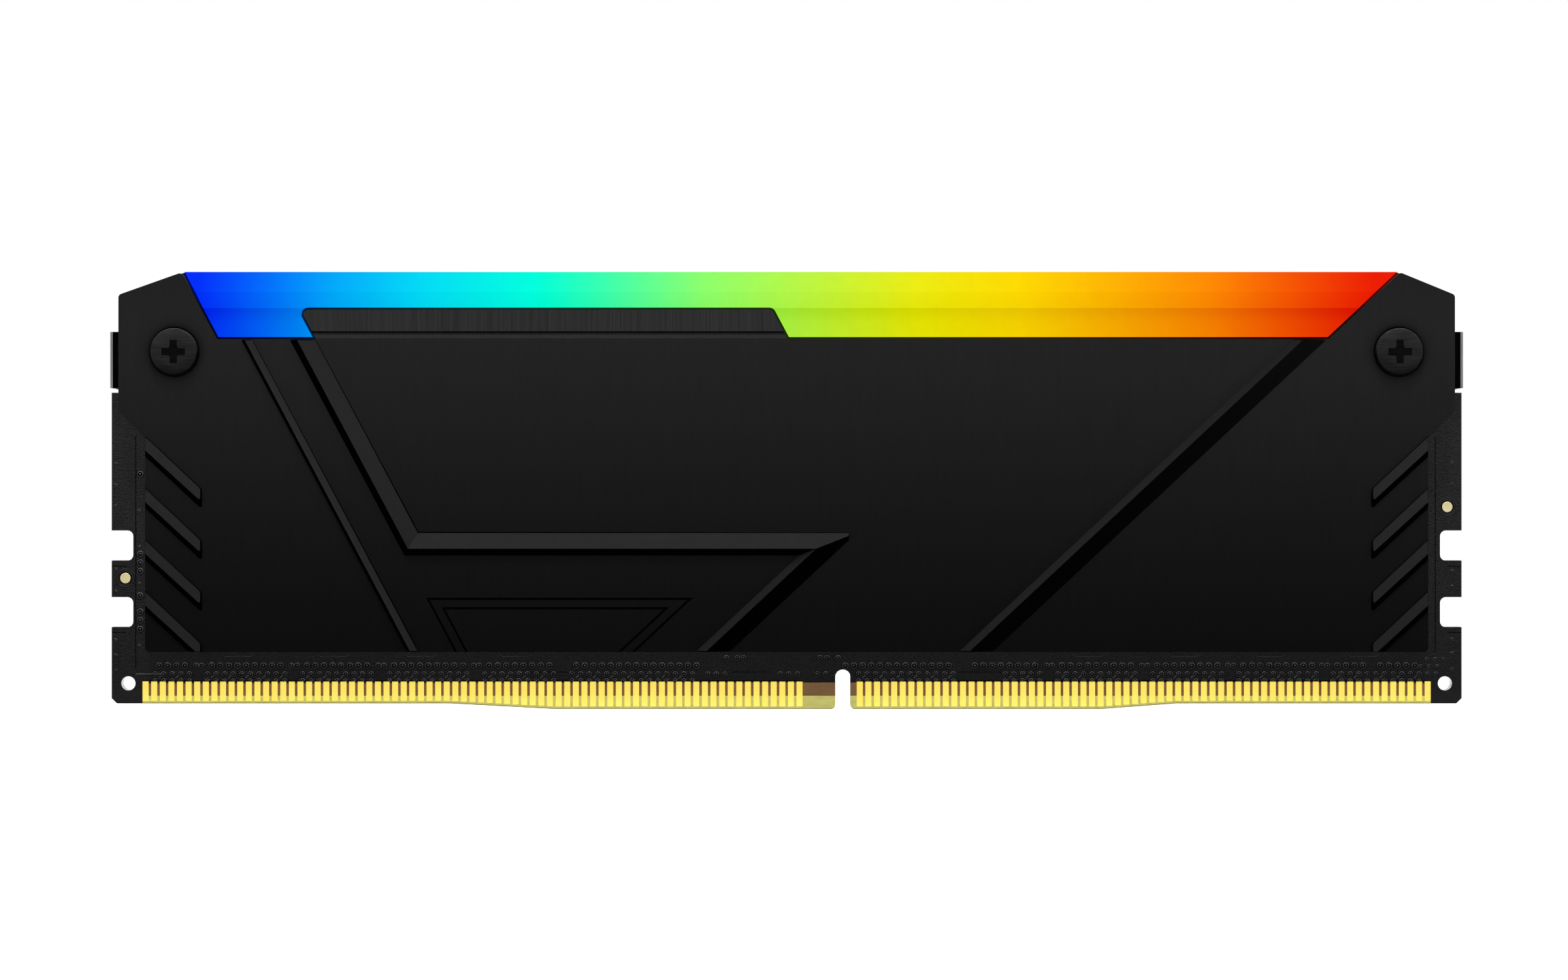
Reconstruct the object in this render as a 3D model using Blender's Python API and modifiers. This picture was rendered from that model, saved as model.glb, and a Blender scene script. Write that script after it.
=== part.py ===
"""Desktop memory module with two heat spreaders and a light bar.

Metres, +Z up. The origin is the middle of the card edge that goes into the socket.
+X runs along the module, and the front faces -Y.
"""

import math

import bmesh
import bpy
from mathutils import Vector

MM = 0.001

# Main board
BOARD_LENGTH = 133.35 * MM
BOARD_HEIGHT = 31.25 * MM
BOARD_THICKNESS = 1.4 * MM
BOARD_CORNER_CUT = 0.52 * MM  # off each lower corner, both ways
EDGE_STEP = 0.55 * MM  # how much lower the card edge is in its middle
LEFT_RAMP_INNER = 23.0 * MM  # from the board's middle to where each ramp starts
RIGHT_RAMP_INNER = 31.2 * MM
LEFT_RAMP_LENGTH = 10.2 * MM
RIGHT_RAMP_LENGTH = 7.3 * MM
STRIP_LENGTH = 110.0 * MM  # the strip of board that carries the lights
STRIP_RISE = 5.9 * MM  # above the board's shoulders

# Key notch, latch notches and corner holes of the board
KEY_X = 5.55 * MM
KEY_WIDTH = 1.5 * MM
KEY_HEIGHT = 3.9 * MM
KEY_MOUTH_RADIUS = 0.4 * MM
KEY_TOP_FLAT = 0.1 * MM  # level stretch between the two arcs at its top
LATCH_DEPTH = 2.13 * MM
LATCH_HEIGHT = 2.97 * MM
LATCH_RADIUS = 0.55 * MM
LOWER_LATCH_Z = 8.09 * MM
UPPER_LATCH_Z = 14.67 * MM
HOLE_DIAMETER = 1.4 * MM
HOLE_INSET = 1.65 * MM
HOLE_Z = 2.54 * MM

# Contacts
CONTACT_PITCH = 0.85 * MM
CONTACT_WIDTH = 0.6 * MM
CONTACT_THICKNESS = 0.05 * MM
CONTACT_TOP = 2.73 * MM
CONTACT_TIE = 0.16 * MM  # height of the strip that ties a row into one solid
CONTACT_EDGE_GAP = 0.28 * MM
CONTACT_END_INSET = 3.35 * MM  # from the board's end to the middle of the outermost contact
LEFT_KEY_MARGIN = 3.2 * MM  # least bare board between a row and the key notch
RIGHT_KEY_MARGIN = 0.6 * MM

# Parts on the board
CHIPS_PER_FACE = 8
CHIP_WIDTH = 7.5 * MM
CHIP_LENGTH = 11.0 * MM
CHIP_HEIGHT = 1.1 * MM
CHIP_Z = 17.2 * MM
CHIP_PITCH = 13.4 * MM
CHIP_MIDDLE_GAP = 8.6 * MM  # clear board between the two middle chips
CAPACITOR_WIDTH = 0.8 * MM
CAPACITOR_LENGTH = 1.6 * MM
CAPACITOR_HEIGHT = 0.6 * MM
IDENTITY_CHIP_WIDTH = 3.0 * MM
IDENTITY_CHIP_LENGTH = 2.0 * MM
IDENTITY_CHIP_HEIGHT = 0.55 * MM
CONTROLLER_SIDE = 4.0 * MM
CONTROLLER_HEIGHT = 0.85 * MM
LIGHTS_PER_FACE = 5
LIGHT_WIDTH = 3.5 * MM
LIGHT_LENGTH = 2.8 * MM
LIGHT_HEIGHT = 0.75 * MM
LIGHT_PITCH = 22.0 * MM
LIGHT_INSET = 0.4 * MM  # below the top of the strip of board
PAD_THICKNESS = 0.35 * MM
PAD_MARGIN = 0.9 * MM  # past the chips on every side

# Heat spreaders
SHEET_THICKNESS = 1.0 * MM
SPREADER_BOTTOM = 5.74 * MM
SIDE_INSET = 3.7 * MM  # from the board's end to the spreader's straight side
EAR_INSET = 1.08 * MM  # from the board's end to the ear's side
EAR_FULL_DROP = 2.15 * MM  # from the tab's lower edge to where the ear has its full width
EAR_SLOPE_DROP = 2.7 * MM  # from there to where the ear starts
SILL_RISE = 5.2 * MM  # top edge of the plain sheet, above the board's shoulders
EAR_CORNER_RISE = 4.35 * MM  # these three are above the sill
EAR_PEAK_RISE = 6.55 * MM
LIP_RISE = 2.9 * MM
LEFT_EAR_FOOT = 9.68 * MM  # width of each ear along the sill
RIGHT_EAR_FOOT = 12.38 * MM
EAR_RADIUS = 0.4 * MM
LIP_START = 46.2 * MM  # left of the module's middle, at the sill
LIP_LENGTH = 46.3 * MM
LIP_RADIUS = 0.45 * MM
STEEP_LEAN = 0.531  # run for each unit of drop of the left-hand lines
WIDE_LEAN = 1.07  # the same for the right-hand lines
TAB_THICKNESS = 0.92 * MM
TAB_HEIGHT = 5.8 * MM
TAB_DRAFT = 0.12 * MM  # slope of a tab's upper and lower edges, over its width
TAB_REACH_GAP = 0.3 * MM  # from a tab to the front spreader
FOLD_INSET = 0.02 * MM  # of a tab's folded wall, inside the sheet that it grows from

# Raised ridges of the heat spreaders
RIDGE_HEIGHT = 0.5 * MM
RIDGE_WIDE_SLOPE = 1.6 * MM
RIDGE_NARROW_SLOPE = 0.66 * MM
RIDGE_END_INSET = 0.12 * MM
THIN_RIDGE_HEIGHT = 0.35 * MM
THIN_RIDGE_WIDE_SLOPE = 0.68 * MM
THIN_RIDGE_NARROW_SLOPE = 0.32 * MM
THIN_RIDGE_X = 53.2 * MM  # the crests, left or right of the middle along the sill
BENT_RIDGE_X = 48.05 * MM
RIGHT_RIDGE_X = 50.7 * MM
BENT_RIDGE_DROP = 20.57 * MM  # from the sill down to the bent ridge's level stretch
BENT_RIDGE_LEVEL = 40.0 * MM  # length of that stretch
RIB_PITCH = 5.07 * MM
RIB_HEIGHT = 0.35 * MM
RIB_WIDE_SLOPE = 1.06 * MM
RIB_NARROW_SLOPE = 0.48 * MM
RIB_RUN = 5.5 * MM
RIB_LEAN = 1.08
RIB_TOP_DROP = 1.28 * MM  # from the foot of the ear to the top rib's crest

# Light bar
BAR_TOP_RISE = 6.7 * MM  # above the sill
BAR_SETBACK = 0.1 * MM  # behind the spreaders' faces
BAR_UPRIGHT = 3.05 * MM  # height of the upright face above the sill
BAR_BREAK_RISE = 4.65 * MM  # where the slope gets flatter
BAR_BREAK_SETBACK = 0.55 * MM  # these two are behind the upright face
BAR_TOP_SETBACK = 1.9 * MM
BAR_SKIRT_DROP = 2.2 * MM  # below the sill, between the spreaders
BAR_CHANNEL_HEADROOM = 1.3 * MM  # over the strip of board
LUG_WALL = 1.34 * MM  # between a screw's hole and the lug's inner end
LUG_SIDE_GAP = 0.6 * MM  # inside the tabs
LUG_RISE = 3.5 * MM  # above the sill
HORN_REACH = 1.6 * MM  # of the bar's ends, behind the ears' inner edges
HORN_RISE = 0.1 * MM  # above the ears' edges
HORN_THINNING = 0.1 * MM  # on each face, inside the top of the roof

# Screws
SCREW_DROP = 1.25 * MM  # below the sill
SCREW_INSET = 0.2 * MM  # inwards from midway between the strip of board and the ear's side
SCREW_HEAD_DIAMETER = 4.65 * MM
SCREW_HEAD_HEIGHT = 0.65 * MM
SCREW_HEAD_CHAMFER = 0.25 * MM
SCREW_SHANK_DIAMETER = 2.0 * MM
SCREW_END_RECESS = 0.2 * MM  # inside the rear face
RECESS_SPAN = 2.3 * MM
RECESS_ARM = 0.74 * MM  # width of an arm where the arms meet
RECESS_TIP = 0.68 * MM  # and at its end
RECESS_DEPTH = 0.4 * MM

# Clearances
SEAT_GAP = 0.05 * MM  # between a part and what it is soldered or pressed to
CONTACT_GAP = 0.02 * MM
BOARD_EDGE_GAP = 0.3 * MM  # over the board's shoulders and round its strip
LIGHT_GAP = 0.15 * MM  # between a light and the wall of its channel
BAR_GAP = 0.2 * MM  # between the light bar and the sheets
LIP_GAP = 0.1 * MM  # between the light bar and the back of a lip
SCREW_GAP = 0.2 * MM  # round the shank, in the front sheet and the light bar
THREAD_GAP = 0.05 * MM
CUT_MARGIN = 1.0 * MM  # how far a cutter runs past what it cuts
JOIN_DEPTH = 0.2 * MM  # how far a joined piece runs into the sheet
MERGE_DISTANCE = 0.01 * MM

# Places that several pieces share
HALF_LENGTH = BOARD_LENGTH / 2
BOARD_FACE = BOARD_THICKNESS / 2
CHIP_SEAT = BOARD_FACE + SEAT_GAP
PAD_FACE = CHIP_SEAT + CHIP_HEIGHT + SEAT_GAP
SHEET_INNER = PAD_FACE + PAD_THICKNESS + SEAT_GAP
SHEET_OUTER = SHEET_INNER + SHEET_THICKNESS
SILL = BOARD_HEIGHT + SILL_RISE
STRIP_TOP = BOARD_HEIGHT + STRIP_RISE
SIDE_X = HALF_LENGTH - SIDE_INSET
EAR_X = HALF_LENGTH - EAR_INSET
STRIP_END = STRIP_LENGTH / 2
SCREW_X = (STRIP_END + EAR_X) / 2 - SCREW_INSET
SCREW_Z = SILL - SCREW_DROP
SCREW_HOLE = SCREW_SHANK_DIAMETER + 2 * SCREW_GAP
TAB_BOTTOM = BOARD_HEIGHT + BOARD_EDGE_GAP
EAR_FULL_Z = TAB_BOTTOM - EAR_FULL_DROP
EAR_START_Z = EAR_FULL_Z - EAR_SLOPE_DROP
KEY_LEFT = KEY_X - KEY_WIDTH / 2
KEY_RIGHT = KEY_X + KEY_WIDTH / 2
BAR_HALF_DEPTH = SHEET_OUTER - BAR_SETBACK
CORE_HALF_DEPTH = SHEET_INNER - BAR_GAP
FRONT = -1
REAR = 1
LEVEL = Vector((1, 0))  # ways of cutting a ridge's end, as seen from the front
UPRIGHT = Vector((0, 1))
ARC_STEPS = 4
ROUND_STEPS = 32

# What lies flat in the XZ plane is drawn in XY and turned up to face the front.
FACING_FRONT = (math.pi / 2, 0, 0)


def new_collection(name):
    collection = bpy.data.collections.new(name)
    bpy.context.scene.collection.children.link(collection)
    return collection


def finish(name, colour, roughness, metallic=0.0):
    material = bpy.data.materials.new(name)
    material.use_nodes = True
    shader = material.node_tree.nodes["Principled BSDF"]
    shader.inputs["Base Color"].default_value = (*colour, 1.0)
    shader.inputs["Roughness"].default_value = roughness
    shader.inputs["Metallic"].default_value = metallic
    return material


def add_object(name, mesh, material=None, cutter=False):
    """Puts a mesh into the scene, as a part or as a hidden cutter."""
    made = bpy.data.objects.new(name, mesh)
    (CUTTERS if cutter else PARTS).objects.link(made)
    if cutter:
        made.hide_render = True
        made.display_type = "WIRE"
    else:
        mesh.materials.clear()
        mesh.materials.append(material)
    return made


def rounded(corners):
    """The outline through (x, z, radius) corners, with an arc at each corner that has a radius."""
    points = []
    for index, (x, z, radius) in enumerate(corners):
        corner = Vector((x, z))
        before = (Vector(corners[index - 1][:2]) - corner).normalized()
        after = (Vector(corners[(index + 1) % len(corners)][:2]) - corner).normalized()
        if radius == 0:
            points.append(corner)
            continue
        half_angle = before.angle(after) / 2
        centre = corner + (before + after).normalized() * radius / math.sin(half_angle)
        start = corner + before * radius / math.tan(half_angle) - centre
        end = corner + after * radius / math.tan(half_angle) - centre
        for step in range(ARC_STEPS + 1):
            spoke = start.lerp(end, step / ARC_STEPS).normalized() * radius
            points.append(centre + spoke)
    return points


def circle(x, z, diameter):
    turns = [2 * math.pi * step / ROUND_STEPS for step in range(ROUND_STEPS)]
    return [Vector((x + diameter / 2 * math.cos(a), z + diameter / 2 * math.sin(a))) for a in turns]


def plate_mesh(name, outlines, thickness, rotation, location):
    """A closed mesh from flat outlines, the first one outer and the others holes."""
    curve = bpy.data.curves.new(name, "CURVE")
    curve.dimensions = "2D"
    curve.fill_mode = "BOTH"
    curve.extrude = thickness / 2
    for outline in outlines:
        spline = curve.splines.new("POLY")
        spline.points.add(len(outline) - 1)
        for point, (x, y) in zip(spline.points, outline):
            point.co = (x, y, 0, 1)
        spline.use_cyclic_u = True
    guide = bpy.data.objects.new(name, curve)
    guide.rotation_euler = rotation
    guide.location = location
    bpy.context.scene.collection.objects.link(guide)
    bpy.context.view_layer.update()
    graph = bpy.context.evaluated_depsgraph_get()
    mesh = bpy.data.meshes.new_from_object(guide.evaluated_get(graph))
    mesh.transform(guide.matrix_world)
    bpy.data.objects.remove(guide)
    shape = bmesh.new()
    shape.from_mesh(mesh)
    bmesh.ops.remove_doubles(shape, verts=shape.verts, dist=MERGE_DISTANCE)
    bmesh.ops.recalc_face_normals(shape, faces=shape.faces)
    shape.to_mesh(mesh)
    shape.free()
    return mesh


def upright_plate(name, outlines, near, far, material=None, cutter=False):
    """A plate whose outline is seen from the front, between two values of Y."""
    place = (0, (near + far) / 2, 0)
    mesh = plate_mesh(name, outlines, abs(far - near), FACING_FRONT, place)
    return add_object(name, mesh, material, cutter)


def block(name, size, centre, material=None, cutter=False):
    shape = bmesh.new()
    bmesh.ops.create_cube(shape, size=1)
    bmesh.ops.scale(shape, vec=size, verts=shape.verts)
    bmesh.ops.translate(shape, vec=centre, verts=shape.verts)
    mesh = bpy.data.meshes.new(name)
    shape.to_mesh(mesh)
    shape.free()
    return add_object(name, mesh, material, cutter)


def boolean(target, operation, other):
    modifier = target.modifiers.new(f"{operation.lower()}_{other.name}", "BOOLEAN")
    modifier.operation = operation
    modifier.object = other


def edge_height(x):
    """Height of the card edge at x: level, a ramp down, level, a ramp up, level."""
    left = (-x - LEFT_RAMP_INNER) / LEFT_RAMP_LENGTH
    right = (x - RIGHT_RAMP_INNER) / RIGHT_RAMP_LENGTH
    return EDGE_STEP * min(1, max(0, left, right))


def latch_corners(side):
    """The two latch notches of one end, from the lower one up."""
    deep = side * (HALF_LENGTH - LATCH_DEPTH)
    corners = []
    for low in (LOWER_LATCH_Z, UPPER_LATCH_Z):
        high = low + LATCH_HEIGHT
        corners += [
            (side * HALF_LENGTH, low, 0),
            (deep, low, LATCH_RADIUS),
            (deep, high, LATCH_RADIUS),
            (side * HALF_LENGTH, high, 0),
        ]
    return corners


def make_board(material):
    key_top_radius = (KEY_WIDTH - KEY_TOP_FLAT) / 2
    corners = [
        (-HALF_LENGTH, EDGE_STEP + BOARD_CORNER_CUT, 0),
        (-HALF_LENGTH + BOARD_CORNER_CUT, EDGE_STEP, 0),
        (-LEFT_RAMP_INNER - LEFT_RAMP_LENGTH, EDGE_STEP, 0),
        (-LEFT_RAMP_INNER, 0, 0),
        (KEY_LEFT, 0, KEY_MOUTH_RADIUS),
        (KEY_LEFT, KEY_HEIGHT, key_top_radius),
        (KEY_RIGHT, KEY_HEIGHT, key_top_radius),
        (KEY_RIGHT, 0, KEY_MOUTH_RADIUS),
        (RIGHT_RAMP_INNER, 0, 0),
        (RIGHT_RAMP_INNER + RIGHT_RAMP_LENGTH, EDGE_STEP, 0),
        (HALF_LENGTH - BOARD_CORNER_CUT, EDGE_STEP, 0),
        (HALF_LENGTH, EDGE_STEP + BOARD_CORNER_CUT, 0),
        *latch_corners(1),
        (HALF_LENGTH, BOARD_HEIGHT, 0),
        (STRIP_END, BOARD_HEIGHT, 0),
        (STRIP_END, STRIP_TOP, 0),
        (-STRIP_END, STRIP_TOP, 0),
        (-STRIP_END, BOARD_HEIGHT, 0),
        (-HALF_LENGTH, BOARD_HEIGHT, 0),
        *reversed(latch_corners(-1)),
    ]
    hole_x = HALF_LENGTH - HOLE_INSET
    holes = [circle(side * hole_x, HOLE_Z, HOLE_DIAMETER) for side in (-1, 1)]
    upright_plate("main_board", [rounded(corners), *holes], -BOARD_FACE, BOARD_FACE, material)


def contact_places(hand):
    """X of each contact on one side of the key notch: as many as fit between the end and the key."""
    outermost = HALF_LENGTH - CONTACT_END_INSET
    key_edge = KEY_RIGHT + RIGHT_KEY_MARGIN if hand > 0 else LEFT_KEY_MARGIN - KEY_LEFT
    room = outermost - key_edge - CONTACT_WIDTH / 2
    count = int(room / CONTACT_PITCH) + 1
    return sorted(hand * (outermost - index * CONTACT_PITCH) for index in range(count))


def make_contacts(name, hand, side, material):
    """One row of contacts on one face, tied along its top into one comb."""
    comb_bottom = CONTACT_TOP - CONTACT_TIE
    outline = []
    for x in contact_places(hand):
        foot = edge_height(x) + CONTACT_EDGE_GAP
        left = x - CONTACT_WIDTH / 2
        right = x + CONTACT_WIDTH / 2
        outline += [(left, comb_bottom), (left, foot), (right, foot), (right, comb_bottom)]
    outline[0] = (outline[0][0], CONTACT_TOP)
    outline[-1] = (outline[-1][0], CONTACT_TOP)
    near = side * (BOARD_FACE + CONTACT_GAP)
    upright_plate(name, [outline], near, near + side * CONTACT_THICKNESS, material)


def on_board(name, width, height, length, x, z, side, material):
    """A box soldered to one face of the board, standing height away from it."""
    y = side * (CHIP_SEAT + height / 2)
    block(name, (width, height, length), (x, y, z), material)


def chip_places():
    """X of each memory chip: the same number on either side of the middle."""
    each_side = CHIPS_PER_FACE // 2
    inner = (CHIP_MIDDLE_GAP + CHIP_WIDTH) / 2
    right = [inner + index * CHIP_PITCH for index in range(each_side)]
    return [-x for x in reversed(right)] + right


def make_board_parts(face, side, black, pale, lamp):
    places = chip_places()
    for number, x in enumerate(places, 1):
        name = f"{face}_memory_chip_{number}"
        on_board(name, CHIP_WIDTH, CHIP_HEIGHT, CHIP_LENGTH, x, CHIP_Z, side, black)
    number = 0
    for left, right in zip(places, places[1:]):
        middle = (left + right) / 2
        if abs(middle) < CHIP_WIDTH / 2:
            continue
        number += 1
        name = f"{face}_capacitor_{number}"
        size = (CAPACITOR_WIDTH, CAPACITOR_HEIGHT, CAPACITOR_LENGTH)
        on_board(name, *size, middle, CHIP_Z, side, pale)
    light_z = STRIP_TOP - LIGHT_INSET - LIGHT_LENGTH / 2
    for index in range(LIGHTS_PER_FACE):
        x = (index - (LIGHTS_PER_FACE - 1) / 2) * LIGHT_PITCH
        name = f"{face}_light_{index + 1}"
        on_board(name, LIGHT_WIDTH, LIGHT_HEIGHT, LIGHT_LENGTH, x, light_z, side, lamp)


def make_pad(name, side, material):
    length = 2 * (chip_places()[-1] + CHIP_WIDTH / 2 + PAD_MARGIN)
    height = CHIP_LENGTH + 2 * PAD_MARGIN
    y = side * (PAD_FACE + PAD_THICKNESS / 2)
    block(name, (length, PAD_THICKNESS, height), (0, y, CHIP_Z), material)


def spreader_outline(with_tabs):
    """The sheet as seen from the front: sides, ears, window for the light bar and lip."""
    peak = SILL + EAR_PEAK_RISE
    ear_corner = SILL + EAR_CORNER_RISE
    lip_top = SILL + LIP_RISE
    lip_shift = STEEP_LEAN * LIP_RISE
    left_foot = LEFT_EAR_FOOT - EAR_X
    right_foot = EAR_X - RIGHT_EAR_FOOT
    tab_top = TAB_BOTTOM + TAB_HEIGHT

    def tab(side):
        if not with_tabs:
            return []
        return [
            (side * EAR_X, TAB_BOTTOM, 0),
            (side * HALF_LENGTH, TAB_BOTTOM + TAB_DRAFT, 0),
            (side * HALF_LENGTH, tab_top - TAB_DRAFT, 0),
            (side * EAR_X, tab_top, 0),
        ]

    corners = [
        (-SIDE_X, SPREADER_BOTTOM, 0),
        (SIDE_X, SPREADER_BOTTOM, 0),
        (SIDE_X, EAR_START_Z, 0),
        (EAR_X, EAR_FULL_Z, 0),
        *tab(1),
        (EAR_X, ear_corner, EAR_RADIUS),
        (right_foot + WIDE_LEAN * EAR_PEAK_RISE, peak, EAR_RADIUS),
        (right_foot, SILL, 0),
        (LIP_LENGTH - LIP_START, SILL, 0),
        (LIP_LENGTH - LIP_START - lip_shift, lip_top, LIP_RADIUS),
        (-LIP_START - lip_shift, lip_top, LIP_RADIUS),
        (-LIP_START, SILL, 0),
        (left_foot, SILL, 0),
        (left_foot - STEEP_LEAN * EAR_PEAK_RISE, peak, EAR_RADIUS),
        (-EAR_X, ear_corner, EAR_RADIUS),
        *reversed(tab(-1)),
        (-EAR_X, EAR_FULL_Z, 0),
        (-SIDE_X, EAR_START_Z, 0),
    ]
    return rounded(corners)


def sunk_slope(slope, height):
    """Width of a ridge's slope when it runs on down to the ridge's sunk foot."""
    return slope * (height + JOIN_DEPTH) / height


def offset_path(path, distance, ends):
    """The path moved to its left, mitred at bends and cut at its two ends along unit vectors."""
    ways = [(after - before).normalized() for before, after in zip(path, path[1:])]
    lefts = [Vector((-way.y, way.x)) for way in ways]
    moved = []
    for index, point in enumerate(path):
        if 0 < index < len(path) - 1:
            first = lefts[index - 1]
            second = lefts[index]
            moved.append(point + distance * (first + second) / (1 + first.dot(second)))
            continue
        left, cut = (lefts[0], ends[0]) if index == 0 else (lefts[-1], ends[1])
        moved.append(point + cut * distance / left.dot(cut))
    return moved


def make_ridge(name, path, ends, slopes, height, side):
    """A roof-shaped ridge along a crest path, joined from its cross-sections and sunk into the sheet."""
    left_slope, right_slope = (sunk_slope(slope, height) for slope in slopes)
    left = offset_path(path, left_slope, ends)
    right = offset_path(path, -right_slope, ends)
    crest_y = side * (SHEET_OUTER + height)
    foot_y = side * (SHEET_OUTER - JOIN_DEPTH)
    shape = bmesh.new()
    loops = []
    for left_point, crest, right_point in zip(left, path, right):
        corners = [
            shape.verts.new((left_point.x, foot_y, left_point.y)),
            shape.verts.new((crest.x, crest_y, crest.y)),
            shape.verts.new((right_point.x, foot_y, right_point.y)),
        ]
        loops.append([shape.edges.new((corners[i - 1], corners[i])) for i in range(3)])
    for before, after in zip(loops, loops[1:]):
        bmesh.ops.bridge_loops(shape, edges=before + after)
    bmesh.ops.holes_fill(shape, edges=loops[0] + loops[-1])
    bmesh.ops.recalc_face_normals(shape, faces=shape.faces)
    mesh = bpy.data.meshes.new(name)
    shape.to_mesh(mesh)
    shape.free()
    return add_object(name, mesh, cutter=True)


def ridge_paths():
    """Crest paths of the three long ridges, from the sill down to the sheet's bottom edge."""
    top = SILL - RIDGE_END_INSET
    bottom = SPREADER_BOTTOM + RIDGE_END_INSET
    level_z = SILL - BENT_RIDGE_DROP
    corner_x = STEEP_LEAN * BENT_RIDGE_DROP - BENT_RIDGE_X
    end_x = corner_x + BENT_RIDGE_LEVEL

    def steep(z):
        return STEEP_LEAN * (SILL - z)

    thin = [Vector((steep(z) - THIN_RIDGE_X, z)) for z in (top, bottom)]
    bent = [
        Vector((steep(top) - BENT_RIDGE_X, top)),
        Vector((corner_x, level_z)),
        Vector((end_x, level_z)),
        Vector((end_x - WIDE_LEAN * (level_z - bottom), bottom)),
    ]
    right = [Vector((RIGHT_RIDGE_X - WIDE_LEAN * (SILL - z), z)) for z in (top, bottom)]
    return thin, bent, right


def rib_paths(hand):
    """Crest paths of the slanted ribs at one side, with the way that each is cut at its lower end.

    The ribs run from the sheet's side inwards and down. They repeat down to the sheet's bottom edge,
    which cuts the last one level.
    """
    outer = SIDE_X - RIDGE_END_INSET
    bottom = SPREADER_BOTTOM + RIDGE_END_INSET
    reach = sunk_slope(RIB_NARROW_SLOPE, RIB_HEIGHT) * math.hypot(1, RIB_LEAN) / RIB_LEAN
    high = EAR_START_Z - RIB_TOP_DROP
    paths = []
    while high - reach > bottom:
        low = high - RIB_RUN / RIB_LEAN
        cut = UPRIGHT
        if low - reach < bottom:
            low = bottom
            cut = LEVEL
        inner = outer - (high - low) * RIB_LEAN
        paths.append(([Vector((hand * outer, high)), Vector((hand * inner, low))], cut))
        high -= RIB_PITCH
    return paths


def make_ridges(face, side):
    """All the raised lines of one spreader, as pieces to join to its sheet."""
    thin, bent, right = ridge_paths()
    ends = (LEVEL, LEVEL)
    thin_slopes = (THIN_RIDGE_WIDE_SLOPE, THIN_RIDGE_NARROW_SLOPE)
    slopes = (RIDGE_WIDE_SLOPE, RIDGE_NARROW_SLOPE)
    made = [
        make_ridge(f"{face}_thin_ridge", thin, ends, thin_slopes, THIN_RIDGE_HEIGHT, side),
        make_ridge(f"{face}_bent_ridge", bent, ends, slopes, RIDGE_HEIGHT, side),
        make_ridge(f"{face}_right_ridge", right, ends, slopes, RIDGE_HEIGHT, side),
    ]
    for hand, slopes in (
        (-1, (RIB_WIDE_SLOPE, RIB_NARROW_SLOPE)),
        (1, (RIB_NARROW_SLOPE, RIB_WIDE_SLOPE)),
    ):
        for number, (path, cut) in enumerate(rib_paths(hand), 1):
            name = f"{face}_rib_{'left' if hand < 0 else 'right'}_{number}"
            made.append(make_ridge(name, path, (UPRIGHT, cut), slopes, RIB_HEIGHT, side))
    return made


def make_spreader(face, side, material):
    outline = spreader_outline(with_tabs=side == REAR)
    hole = SCREW_HOLE if side == FRONT else SCREW_SHANK_DIAMETER + 2 * THREAD_GAP
    holes = [circle(hand * SCREW_X, SCREW_Z, hole) for hand in (-1, 1)]
    name = f"{face}_heat_spreader"
    sheet = upright_plate(name, [outline, *holes], side * SHEET_INNER, side * SHEET_OUTER, material)
    for ridge in make_ridges(face, side):
        boolean(sheet, "UNION", ridge)
    if side == REAR:
        for hand in (-1, 1):
            boolean(sheet, "UNION", make_fold(hand))


def make_fold(hand):
    """The end tab's wall, folded forward from the rear sheet's ear over the board's shoulder."""
    reach = SHEET_INNER - TAB_REACH_GAP
    sunk = SHEET_INNER + JOIN_DEPTH
    inset = FOLD_INSET
    size = (TAB_THICKNESS - inset, reach + sunk, TAB_HEIGHT - 2 * (TAB_DRAFT + inset))
    x = hand * (HALF_LENGTH - inset - size[0] / 2)
    centre = (x, (sunk - reach) / 2, TAB_BOTTOM + TAB_HEIGHT / 2)
    return block(f"fold_{'left' if hand < 0 else 'right'}", size, centre, cutter=True)


def window_outline():
    """The light bar's crown as seen from the front: the window between the ears, less its gap."""
    low = SILL + BAR_GAP
    high = SILL + BAR_TOP_RISE
    steep_gap = BAR_GAP * math.hypot(1, STEEP_LEAN)
    wide_gap = BAR_GAP * math.hypot(1, WIDE_LEAN)
    left = LEFT_EAR_FOOT - EAR_X + steep_gap
    right = EAR_X - RIGHT_EAR_FOOT - wide_gap
    return [
        (left - STEEP_LEAN * (low - SILL), low),
        (right + WIDE_LEAN * (low - SILL), low),
        (right + WIDE_LEAN * (high - SILL), high),
        (left - STEEP_LEAN * (high - SILL), high),
    ]


def make_roof():
    """The light bar's cross-section, drawn seen from the end and run along the whole module."""
    half = [
        (BAR_HALF_DEPTH, SILL - CUT_MARGIN),
        (BAR_HALF_DEPTH, SILL + BAR_UPRIGHT),
        (BAR_HALF_DEPTH - BAR_BREAK_SETBACK, SILL + BAR_BREAK_RISE),
        (BAR_HALF_DEPTH - BAR_TOP_SETBACK, SILL + BAR_TOP_RISE),
    ]
    outline = half + [(-y, z) for y, z in reversed(half)]
    facing_end = (math.pi / 2, 0, math.pi / 2)
    mesh = plate_mesh("bar_roof", [outline], BOARD_LENGTH, facing_end, (0, 0, 0))
    return add_object("bar_roof", mesh, cutter=True)


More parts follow.
